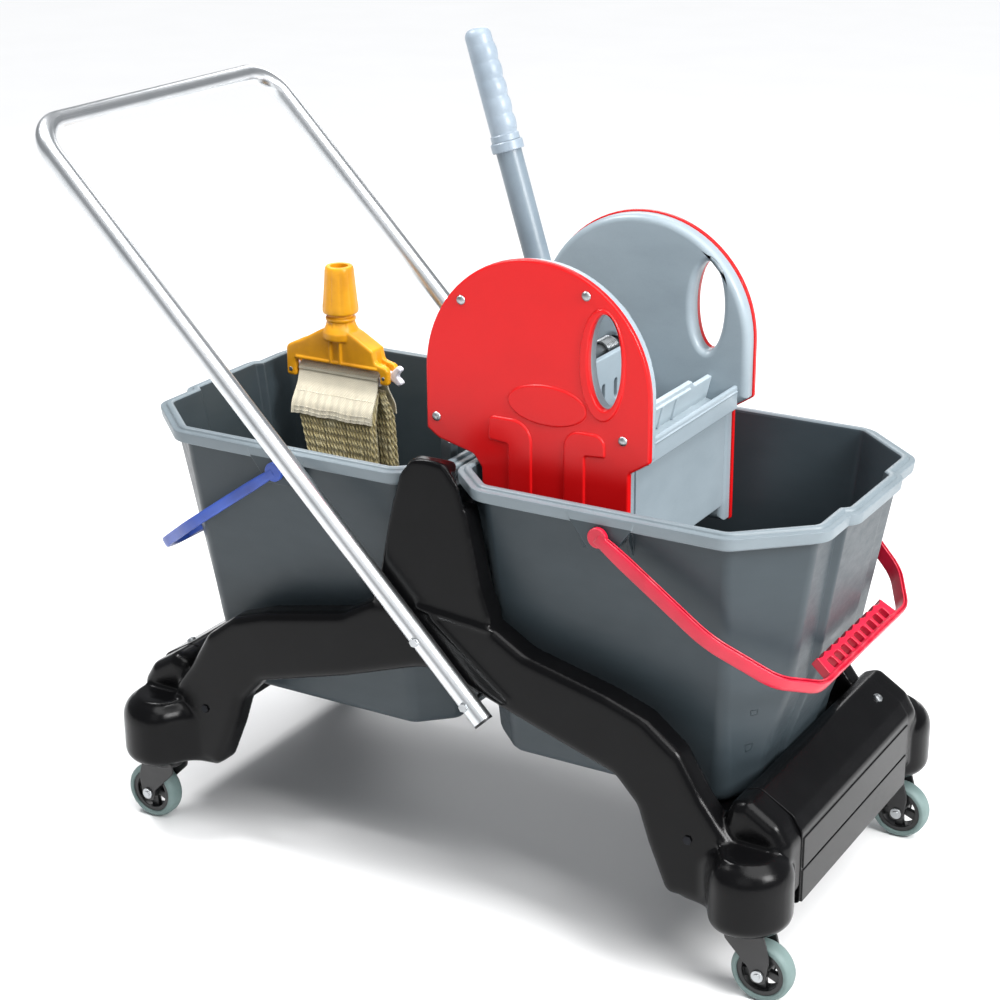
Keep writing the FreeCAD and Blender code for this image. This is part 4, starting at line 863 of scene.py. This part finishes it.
def cheek_outline(out):
    """The round-topped cheek with its notch over the rims and its step at the front."""
    arch = []
    for k in range(41):
        u, v = polar(ARCH_R + out, math.pi * k / 40)
        arch.append(Vector((ARCH_X + u, ARCH_Z + v)))
    corners = [(ARCH_X - ARCH_R, ARCH_Z, 0)] + CHEEK_FOOT + [(ARCH_X + ARCH_R, ARCH_Z, 0)]
    foot = run(corners + [(ARCH_X, ARCH_Z + ARCH_R, 0)], steps=4, out=out)
    return arch + foot[1:-2]


def cheeks():
    for side, sign in SIDES:
        face = side_plane(sign)
        grey = Build()
        shaft = oval(SHAFT.x, SHAFT.z, 9.06, 9.06, 32)
        pin = oval(*JAW_PIN, 6.06, 6.06, 24)
        grey.slab(lambda out: cheek_outline(out - 2.2), 120, 139.0, face, 9.0, 0.6,
                  [oval(*HAND_HOLE), shaft, pin], steps=8)
        grey.piece(f"cheek_{side}_moulding", "wringer", "wringer_grey", [f"cheek_{side}"])

        red = Build()
        red.slab(cheek_outline, 138.6, PANEL_FACE, face, 0.8, 3.0, [oval(*HAND_HOLE)], steps=5)
        # What stands proud of the panel: the hand hole's border, a plain oval and two ridges.
        x, z, half_width, half_height = HAND_HOLE
        root, proud = PANEL_FACE - 2.0, PANEL_FACE + 2.2
        red.slab(oval(x - 3, z - 4, half_width + 8.5, half_height + 10, 64), root, proud, face, 0.2, 2.6,
                 [oval(x, z, half_width + 0.1, half_height + 0.1, 64)], steps=5)
        red.slab(oval(116, 643, 52, 24.5, 72), root, PANEL_FACE + 2.0, face, 0.2, 2.6, steps=5)
        for ridge in RIDGES:
            red.slab(shape(ridge, 8), root, proud, face, 0.2, 2.8, steps=5)
        red.piece(f"side_panel_{side}_moulding", "wringer", "panel_red", [f"side_panel_{side}"])


cheeks()


def rivets():
    """Domed rivets through each red panel."""
    build = Build()
    dome = [(0, -3), (2.5, -3), (2.5, -0.4), (5.6, -0.4), (5.8, 0.3), (5.0, 1.7), (3.2, 2.6), (1.4, 3.0),
            (0, 3.05)]
    for sign in (1, -1):
        for x, z in RIVETS:
            build.lathe(dome, at(x, sign * PANEL_FACE, z), (0, sign, 0), 28)
    build.piece("rivets", "wringer", "steel", ["panel_rivets"])


rivets()


def block(build, low, high, soft=1.2):
    """A straight-sided block with rounded edges."""
    corner = min(soft, (high[0] - low[0]) * 0.45, (high[2] - low[2]) * 0.45)
    outline = box(low[0], low[2], high[0], high[2], corner)
    build.slab(outline, low[1], high[1], side_plane(1), corner * 0.9, corner * 0.9)


def drain_slots(first, pitch):
    """Seven columns and four rows of slots, the lowest row starting at a height."""
    return [box(-100.5 + 32 * c, first + pitch * r, -91.5 + 32 * c, first + 26 + pitch * r, 4)
            for r in range(4) for c in range(7)]


def front_wall():
    """The grey wall between the cheeks: a deep top band over a shallow gutter, stiffened behind."""
    build = Build()
    wall = shape([(213, 452, 1.5), (219, 452, 1.5), (219, 580, 3), (235, 582, 2), (235, 612, 3),
                  (229, 612, 2.4), (229, 588, 2), (213, 586, 3)], 4)
    build.slab(wall, -119.8, 119.8, side_plane(1), 0.8, 0.8)
    block(build, (232.6, -119, 603.5), (236.2, 119, 606.0), 1.0)
    for y in (-80, -40, 0, 40, 80):
        block(build, (206, y - 2, 464), (214, y + 2, 564))
    build.piece("front_wall_moulding", "wringer", "wringer_grey", ["front_wall"])


def press_plate():
    """The slotted plate the mop is pressed on: raised middle, ribs in front and a drip ledge."""
    lean_x, lean_z = math.sin(PRESS_LEAN), math.cos(PRESS_LEAN)

    def place(u, v, w):
        return at(PRESS_X + w * lean_z + v * lean_x, u, PRESS_Z - w * lean_x + v * lean_z)
    build = Build()
    half, height = 119.6, 186.0
    outline = shape([(-half, 0, 1), (half, 0, 1), (half, height - 9, 4), (70, height - 9, 6), (58, height, 6),
                     (-58, height, 6), (-70, height - 9, 6), (-half, height - 9, 4)])
    build.slab(outline, 0, 6, place, 1.2, 1.2, drain_slots(14, 34))
    for y in (-80, -48, -16, 16, 48, 80):
        build.slab(box(y - 2, 8, y + 2, height - 44, 1.4), 5, 11.5, place, 0.4, 1.2)
    ledge = shape([(-half, 142, 1), (half, 142, 1), (half, 146.4, 1.4), (-half, 146.4, 1.4)], 3)
    build.slab(ledge, 4, 18, place, 0.6, 1.2)
    for y in (-19, 19):
        build.slab(box(y - 1.6, 147, y + 1.6, height - 8, 1.2), 5, 8.6, place, 0.3, 1.2)
    build.slab(box(-56, height - 11, 56, height - 7, 2), 5, 8.2, place, 0.3, 1.3)
    block(build, (118, -half, PRESS_Z), (PRESS_X, half, PRESS_Z + 5))
    build.piece("press_plate_moulding", "wringer", "press_grey", ["press_plate"])


def moving_jaw():
    """The slotted jaw, its hinge eye, stiffening ribs and the two pads for the rollers."""
    build = Build()
    (x, z), height, half = JAW_PIN, 210.0, 114.0

    def face(u, v, w):
        return at(x - 4 + w, u, z + v)
    build.slab(box(-half, 8, half, height, 6), 0, 8, face, 1.4, 1.4, drain_slots(36, 38))
    build.lathe(turned(6.06, 12, 0, 2 * half, 1), at(x, -half, z), (0, 1, 0), 40)
    for y in (-84, -20, 20, 84):
        block(build, (x - 10, y - 2, z + 14), (x - 3, y + 2, z + 194))
    pad = shape([(x - 2, z + 112, 1), (x - 2, z + 182, 1), (x - 39, z + 172, 4), (x - 39, z + 160, 3),
                 (x - 22, z + 114, 4)], 4)
    for low in (-59, 47):
        build.slab(pad, low, low + 12, side_plane(1), 1.2, 1.2)
    build.piece("moving_jaw_moulding", "jaw", "wringer_grey", ["moving_jaw"])


def crossbar():
    """The bar between the cheeks behind the lever."""
    build = Build()
    block(build, (-42, -116.6, 594), (-28, 116.6, 628), 3.0)
    build.piece("crossbar_moulding", "wringer", "wringer_grey", ["rear_crossbar"])


def hooks():
    """The two steel hook plates behind the rear bucket's rim, and their bolts."""
    plates, bolts = Build(), Build()
    for sign in (1, -1):
        low, high = sorted((sign * HOOK_INSIDE, sign * HOOK_OUTSIDE))
        plate = shape([(-45, 640, 4), (-45, 524, 4), (-27, 524, 4), (-27, 640, 4)], 4)
        plates.slab(plate, low, high, side_plane(1), 0.6, 0.6)
        block(plates, (-30, low - 6.5, 524), (-27, low + 9.5, 568), 0.7)
        hub, inwards = at(HOOK_BOLT_X, sign * HOOK_INSIDE, HOOK_BOLT_Z), (0, -sign, 0)
        bolts.lathe([(0, 0), (4.6, 0), (5.2, 0.5), (5.2, 3.0), (4.5, 3.6), (0, 3.6)], hub, inwards, 6)
        bolts.lathe(turned(0, 6.4, -2, 0.5), hub, inwards, 28)
    plates.piece("hook_plates", "wringer", "steel", ["hook_brackets"])
    bolts.piece("hook_bolt_heads", "wringer", "steel", ["hook_bolts"], angle=30)


front_wall()
press_plate()
moving_jaw()
crossbar()
hooks()


# ---------------------------------------------------------------- lever

LEAN = math.radians(17.2)
LEVER_UP = Vector((-math.sin(LEAN), 0, math.cos(LEAN)))
LEVER_LENGTH, GRIP_LENGTH, GRIP_CROWN = 419.0, 136.0, 11.0
TUBE_RADIUS, SOCKET_DEPTH = 15.5, 24.0
GRIP_RADIUS, WAVES_FROM, WAVES_TO, WAVE_PITCH = 15.9, 10.0, 116.0, 21.2
CRANK_LEAN = math.radians(15.0)


def lever():
    """The painted tube, the ring at its top and the grip with a wave for each finger."""
    foot = at(*SHAFT)
    tube = Build()
    end = LEVER_LENGTH - GRIP_LENGTH
    tube.lathe(turned(0, TUBE_RADIUS, SOCKET_DEPTH + 0.2, end - 0.2), foot, LEVER_UP, 64)
    tube.piece("lever_tube_steel", "lever", "lever_paint", ["lever_tube"])

    collar = Build()
    collar.lathe([(15.55, end - 12), (18.6, end - 12), (19.5, end - 11), (19.5, end - 1.4), (18.4, end - 0.2),
                  (15.55, end - 0.2)], foot, LEVER_UP, 64)
    collar.piece("lever_collar_ring", "lever", "lever_grey", ["lever_collar"])

    grip = Build()
    count, rows = 64, 110
    side = LEVER_UP.cross(Vector((0, 1, 0))).normalized()
    rings = []
    for row in range(rows + 1):
        along = GRIP_LENGTH * row / rows
        taper = 1.0
        if along > GRIP_LENGTH - GRIP_CROWN:
            crown = (along - GRIP_LENGTH + GRIP_CROWN) / GRIP_CROWN
            taper = math.sqrt(max(0.0, 1 - crown ** 2)) * 0.62 + 0.38
        points = []
        for k in range(count):
            angle = math.tau * k / count
            front = 0.5 - 0.5 * math.cos(angle)
            wave = 0.0
            if WAVES_FROM < along < WAVES_TO:
                wave = 2.2 * front ** 2 * abs(math.sin(math.pi * (along - WAVES_FROM) / WAVE_PITCH)) ** 0.8
            radius = (GRIP_RADIUS + wave + (1.4 if along < 8 else 0.0)) * taper
            points.append(foot + LEVER_UP * (end + along) / 1000
                          + (side * math.cos(angle) + Vector((0, 1, 0)) * math.sin(angle)) * radius / 1000)
        rings.append(grip.ring(points))
    grip.skin(rings)
    grip.piece("lever_grip_moulding", "lever", "lever_grey", ["lever_grip"])


def crank():
    """The hub on the shaft, its socket for the lever, and two arms that carry the rollers."""
    build = Build()
    foot = at(*SHAFT)
    build.lathe(turned(9.05, 16, -44, 44, 1), foot, (0, 1, 0), 48)
    build.lathe([(15.52, 9), (18.4, 9), (19.5, 12), (19.5, 98), (18.6, 100), (15.52, 100)], foot, LEVER_UP, 56)
    build.lathe(turned(0, 17, 8, SOCKET_DEPTH), foot, LEVER_UP, 40)
    down = Vector((-math.sin(CRANK_LEAN), 0, -math.cos(CRANK_LEAN)))
    across = Vector((math.cos(CRANK_LEAN), 0, -math.sin(CRANK_LEAN)))

    def place(u, v, w):
        return foot + (across * u + down * v + Vector((0, 1, 0)) * w) / 1000
    arm = shape([(-12, 2, 3), (12, 2, 3), (10, 60, 9.5), (10, 70, 9.5), (-10, 70, 9.5), (-10, 60, 9.5)])
    for low in (-44, 34):
        build.slab(arm, low, low + 10, place, 1.2, 1.2)
    build.piece("lever_crank_casting", "lever", "fork_black", ["lever_crank"])


lever()
crank()


# ---------------------------------------------------------------- mop

MOP = (-335.0, 95.0, 548.0)
YARN_TOP, YARN_DROP, YARN_DRIFT = -30.0, 311.0, 52.0
TWIST = math.tau / 0.022
BAND_HALF, BAND_SKIN = 64.0, 1.8
BAND_SIDE = [(32.5, -55, 0), (30.5, -40, 30), (15.5, -16, 30), (10.0, 2, 24), (10.0, 12, 9.8)]


def by_mop(u, v, w):
    """Outline in XZ from the middle of the gate bar, thickness along Y."""
    return at(MOP[0] + u, MOP[1] + w, MOP[2] + v)


def eased(share):
    """A share from 0 to 1 that starts and ends gently."""
    share = min(1.0, max(0.0, share))
    return share * share * (3 - 2 * share)


def strands():
    """Cut lengths of twisted cotton in two layers, held together at the top and loose below the tape."""
    def frayed(share):
        return 1.0 if share < 0.98 else 1.12
    chance = random.Random(7)
    build = Build()
    columns, rows, spacing = 22, 4, 2.9
    section = []
    for k in range(8):
        angle = math.tau * k / 8
        section.append(polar(2.55 * (1 + 0.17 * math.cos(2 * angle)), angle))
    for side in (1, -1):
        for row in range(rows):
            for column in range(columns):
                across = (column + 0.5 + 0.3 * (row % 2)) / columns * 2 - 1.02
                depth = (row + 0.5) / rows
                end = 317.0 - chance.uniform(0, 13)
                clump = math.sin(across * 11 + row) * 1.3
                wave = [(chance.uniform(0.5, 1.5), chance.uniform(0.012, 0.03), chance.uniform(0, 6.3))
                        for _ in "xy"]
                path = []
                for k in range(int(end / spacing) + 1):
                    fall = k * spacing
                    height = -18.0 - fall
                    share = max(0.0, (YARN_TOP - height) / YARN_DROP)
                    loose = eased((fall - 30) / 60)
                    flare = eased((fall - 205) / 110)
                    x = across * (61.5 - 29.5 * share) + YARN_DRIFT * share + loose * clump
                    y = 3.0 + depth * 9.0 + (10.2 + depth * 7.4) * eased(fall / 44)
                    x += loose * (1 + flare) * wave[0][0] * math.sin(wave[0][1] * fall * 2 + wave[0][2])
                    y += loose * wave[1][0] * math.sin(wave[1][1] * fall * 2 + wave[1][2])
                    path.append(by_mop(x, height, side * y))
                build.sweep(path, section, (0, 1, 0), scale=frayed, twist=TWIST)
    build.piece("mop_yarn_strands", "mop", "yarn", ["mop_yarn"], angle=70)


def band_section():
    """The band's outer line in YZ, from one lower edge over the bar to the other."""
    other = [(-y, z, r) for y, z, r in BAND_SIDE]
    return run(BAND_SIDE + other[::-1], closed=False, steps=9)


def headband():
    """The woven band folded over the bar, its two tails stitched over the tops of the yarn."""
    line = band_section()
    fine = [line[0]]
    for a, b in zip(line[:-1], line[1:]):
        parts = max(1, int((b - a).length // 3))
        fine.extend(a.lerp(b, k / parts) for k in range(1, parts + 1))
    count = len(fine)
    normals = []
    for i in range(count):
        along = (fine[min(i + 1, count - 1)] - fine[max(i - 1, 0)]).normalized()
        normals.append(Vector((along.y, -along.x)))

    def spot(x, i, inset):
        """A point of the band, with the puckers that the stitched yarn gives its lower edges."""
        low = eased((-8 - fine[i].y) / 44)
        pucker = low * (0.9 * math.sin(x * 0.55) + 0.6 * math.sin(x * 0.21 + 2 * math.copysign(1, fine[i].x)))
        p = fine[i] + normals[i] * (pucker - inset)
        sag = low * 0.8 * math.sin(x * 0.13 + 1)
        return by_mop(x * (1 + 0.015 * low), p.y + sag, p.x)
    build = Build()
    slices = 96
    rings = []
    for k in range(slices + 1):
        x = -BAND_HALF + 2 * BAND_HALF * k / slices
        skin = BAND_SKIN + (0.5 if k in (1, 2, slices - 2, slices - 1) else 0.0)
        outer = [spot(x, i, 0.0) for i in range(count)]
        inner = [spot(x, i, skin) for i in range(count - 1, -1, -1)]
        rings.append(build.ring(outer + inner))
    build.skin(rings)
    cloth = build.piece("mop_headband_cloth", "mop", "headband_cloth", ["mop_headband"], angle=60)

    stitches = Build()
    thread = circle(0.55, 6)
    stitch = ((0, 0.4), (0.5, -0.25), (2.6, -0.25), (3.1, 0.4))
    for row in (3.5, 9.0, 32.0):
        travelled = 0.0
        for i in range(1, count):
            travelled += (fine[i] - fine[i - 1]).length
            if travelled < row:
                continue
            for mark in (i, count - 1 - i):
                for k in range(25):
                    x = -60.0 + 4.95 * k
                    stitches.sweep([spot(x + d, mark, inset) for d, inset in stitch], thread, (0, 0, 1))
            break
    thread_piece = stitches.piece("headband_stitches", "mop", "headband_cloth", angle=60, finish=STITCH)


def tapes():
    """The dark tape stitched round each layer of yarn near its lower end."""
    low, high = -237.0, -219.0
    for name, side in (("outer", 1), ("inner", -1)):
        build = Build()
        share = (YARN_TOP - (low + high) / 2) / YARN_DROP
        half = BAND_HALF - 31.5 * share + 4.2
        middle = YARN_DRIFT * share
        outline = shape([(-half, 9.4, 6), (half, 9.4, 6), (half, 31.2, 6), (-half, 31.2, 6)])
        rings = []
        for height, out in ((low, 0.0), (low - 0.4, 0.7), (low, 1.4), (low + 2, 1.7), (high - 2, 1.7),
                            (high, 1.4), (high + 0.4, 0.7), (high, 0.0)):
            corners = outline(out)
            points = []
            for i, here in enumerate(corners):
                ahead = corners[(i + 1) % len(corners)]
                parts = max(1, int((ahead - here).length // 2.4))
                for k in range(parts):
                    p = here.lerp(ahead, k / parts)
                    drift = (height - low) / (high - low) * -3.0
                    ripple = 0.45 * math.sin(p.x * 1.1 + side)
                    points.append(by_mop(middle + p.x + drift, height + 0.05 * p.x, side * (p.y + ripple)))
            rings.append(points)
        count = min(len(points) for points in rings)
        rings = [build.ring(points[:count]) for points in rings]
        build.skin(rings, closed=True)
        tape = build.piece(f"tail_tape_{name}", "mop", "tape_dark", ["mop_tail_band"], angle=60)


def holder():
    """The moulded T: a hood with forked lugs, and the socket for the pole."""
    body = Build()
    hood = shape([(-66, 17, 3), (59, 17, 3), (59, 43, 4), (52, 47, 14), (27, 61, 12), (16, 66, 10),
                  (-16, 66, 10), (-27, 61, 12), (-52, 47, 14), (-66, 40, 8)])
    body.slab(hood, -15, 15, by_mop, 3.5, 3.5)
    left_lug = shape([(-82, -9, 4), (-67, -9, 3), (-67, 15, 4), (-60, 17, 2), (-60, 43, 4), (-68, 40, 8),
                      (-82, 33, 9)], 5)
    right_lug = shape([(54, 17, 2), (69, 15, 4), (69, -2, 3), (82, -2, 4), (82, 22, 8), (62, 27, 5),
                       (58, 44, 2), (54, 44, 1)], 5)
    for lug in (left_lug, right_lug):
        body.slab(lug, -15, -5.6, by_mop, 3.0, 1.0)
        body.slab(lug, 5.6, 15, by_mop, 1.0, 3.0)
    body.slab(box(-66, 16.6, 66, 21, 2), -16.6, 16.6, by_mop, 1.4, 1.4)
    for u in (-7.5, 7.5):
        rib = shape([(u - 2.2, 18, 1), (u + 2.2, 18, 1), (u + 2.2, 66, 1), (u - 2.2, 66, 1)], 2)
        body.slab(rib, -18.4, 18.4, by_mop, 1.6, 1.6)
    foot = at(*MOP)
    body.lathe([(0, 50), (23, 50), (24.4, 52), (24.4, 60), (22, 66), (18.4, 72), (16.6, 80), (16.4, 115.9),
                (12.1, 115.9), (12.1, 62), (0, 62)], foot, (0, 0, 1), 72)
    body.lathe(turned(15, 20.4, 76, 81, 0.8, 1), foot, (0, 0, 1), 72)
    for k in range(6):
        spin = Matrix.Rotation(math.tau * k / 6, 3, "Z")

        def fin(u, v, w, spin=spin):
            return foot + spin @ Vector((w, u, v)) / 1000
        body.slab(shape([(14, 58, 1), (23.6, 58, 1), (17.6, 80, 2), (14, 80, 1)], 3), -1.7, 1.7, fin, 0.8, 0.8)
    remeshed(body.piece("holder_moulding", "mop", "holder_amber", ["holder_body"], weigh=False),
             0.00095, 4)

    collar = Build()
    profile = [(17.0, 87), (22.8, 86.4), (23.8, 87.4), (24.2, 90), (23.6, 96), (22.6, 103), (20.9, 122),
               (19.2, 144), (18.6, 148.4), (17.4, 150), (12.1, 150), (12.1, 116.2), (17.0, 116.2)]
    rings = []
    for radius, height in profile:
        points = []
        for k in range(144):
            angle = math.tau * k / 144
            reach = radius
            if radius > 18.9 and 90 < height < 148:
                # Ten grip lobes.
                reach += 1.1 * abs(math.cos(5 * angle)) ** 0.6 - 0.7
            points.append(foot + Vector((reach * math.cos(angle), reach * math.sin(angle), height)) / 1000)
        rings.append(collar.ring(points))
    collar.skin(rings, closed=True)
    collar.piece("holder_collar_ring", "mop", "holder_amber", ["holder_collar"], angle=35)


def gate():
    """The white bar through the headband with its upturned tip, and the winged latch."""
    bar = Build()
    eye = by_mop(-75, 0, 0)
    bar.lathe(turned(3.1, 7.5, -4.8, 4.8, 0.6), eye, (0, 1, 0), 48)
    # The bar is a cross in section, with discs along it.
    for place in (by_mop, lambda u, v, w: by_mop(u, w, v)):
        bar.slab(box(-70, -4.3, 56, 4.3, 2), -1.7, 1.7, place, 0.8, 0.8)
    for u in (-50, -25, 0, 25, 50):
        bar.lathe(turned(0, 4.4, -1.2, 1.2, 0.2, 0.4), by_mop(u, 0, 0), (1, 0, 0), 32)
    bar.lathe([(0, -9), (2.6, -9), (3.5, -7.8), (3.5, 2.8), (2.6, 4), (0, 4)], by_mop(59, 0, 0), (0, 0, 1), 32)
    bar.lathe(turned(0, 3.4, -5, 3), by_mop(56, 0, 0), (1, 0, 0), 32)
    remeshed(bar.piece("gate_bar_moulding", "gate", "gate_white", ["gate_bar"], weigh=False), 0.0006, 3)

    latch = Build()
    hinge = by_mop(75, 8, 0)
    latch.lathe(turned(2.6, 6.5, -4.8, 4.8, 0.5), hinge, (0, 1, 0), 48)
    wing = shape([(79, 4, 2), (93, -4, 3), (97, 4, 3), (89, 10, 3), (97, 20, 3), (91, 25, 3), (79, 13, 2)], 5)
    latch.slab(wing, -4.4, 4.4, by_mop, 1.6, 1.6)
    for u, v in ((94.2, 1.5), (93.2, 19.5)):
        latch.lathe(turned(0, 2.8, -4.7, 4.7, 0.6), by_mop(u, v, 0), (0, 1, 0), 24)
    remeshed(latch.piece("gate_latch_moulding", "latch", "gate_white", ["gate_latch"], weigh=False),
             0.0006, 3)

    pins = Build()
    for u, v, radius in ((-75, 0, 3.0), (75, 8, 2.5)):
        pins.lathe(turned(0, radius, -15.6, 15.6, radius * 0.2, 0.4), by_mop(u, v, 0), (0, 1, 0), 28)
    pins.piece("holder_pins", "mop", "steel", ["gate_pin", "latch_pin"])


strands()
holder()
gate()
headband()
tapes()


# ---------------------------------------------------------------- floor, light and camera


def stage():
    """A pale floor, wide enough to fill every view."""
    floor_mesh = bpy.data.meshes.new("floor")
    floor_mesh.from_pydata([(-30, -30, 0), (30, -30, 0), (30, 30, 0), (-30, 30, 0)], [], [(0, 1, 2, 3)])
    floor = bpy.data.objects.new("floor", floor_mesh)
    bpy.context.scene.collection.objects.link(floor)
    paint = Finish("floor_paint")
    paint.colour(paint.ramp(paint.noise(3.0), [(0.3, linear("eaeaea")), (0.7, linear("ececec"))]))
    paint.set(Roughness=0.65)
    floor_mesh.materials.append(paint.material)


def lamp(name, place, target, energy, size):
    """A square lamp at a place, turned towards a target."""
    data = bpy.data.lights.new(name, "AREA")
    data.energy = energy
    data.size = size
    light = bpy.data.objects.new(name, data)
    bpy.context.scene.collection.objects.link(light)
    light.location = place
    light.rotation_euler = (Vector(target) - Vector(place)).to_track_quat("-Z", "Y").to_euler()


def studio():
    """A soft sky, a low world light and four lamps."""
    world = bpy.data.worlds.new("studio")
    bpy.context.scene.world = world
    world.use_nodes = True
    background = world.node_tree.nodes["Background"]
    background.inputs["Color"].default_value = (0.92, 0.95, 1.0, 1.0)
    background.inputs["Strength"].default_value = 0.32
    sky = bpy.data.lights.new("sky", "SUN")
    sky.energy = 3.1
    sky.angle = math.radians(50)
    overhead = bpy.data.objects.new("sky", sky)
    bpy.context.scene.collection.objects.link(overhead)
    overhead.rotation_euler = (math.radians(4), math.radians(20), 0)
    lamp("key", (2.8, -0.5, 2.0), (0.1, 0, 0.4), 110, 1.0)
    lamp("fill", (1.0, -2.8, 2.1), (0, 0, 0.5), 9, 1.8)
    lamp("back", (-1.2, 2.6, 1.9), (0, 0, 0.5), 20, 1.4)
    lamp("strip", (-1.2, -0.3, 2.4), (0, 0, 0.6), 40, 0.6)


def camera():
    """The camera, three-quarter from the front right and a little above."""
    turn, lift, roll = math.radians(30.55), math.radians(20.557), math.radians(-0.428)
    back = Vector((math.sin(turn) * math.cos(lift), -math.cos(turn) * math.cos(lift), math.sin(lift)))
    right = Vector((math.cos(turn), math.sin(turn), 0))
    up = back.cross(right)
    across = right * math.cos(roll) + up * math.sin(roll)
    upward = up * math.cos(roll) - right * math.sin(roll)
    data = bpy.data.cameras.new("camera")
    data.sensor_width = 36.0
    data.lens = 78.27
    data.clip_end = 50.0
    seen = bpy.data.objects.new("camera", data)
    bpy.context.scene.collection.objects.link(seen)
    turned = Matrix((across, upward, back)).transposed().to_4x4()
    place = Vector((1.312155, -2.217628, 1.417922))
    seen.matrix_world = Matrix.Translation(place) @ turned
    bpy.context.scene.camera = seen


stage()
studio()
camera()
bpy.context.scene.view_settings.view_transform = "Standard"


# ---------------------------------------------------------------- carried-over parts

for part in frame["record"]["subparts"]:
    node = frame["nodes"][part["node"]]
    node.data.materials.clear()
    finish = BLACK_STEEL if part["node"] == "beam_screws" else FINISH[part["material_slot"]]
    node.data.materials.append(finish.material)
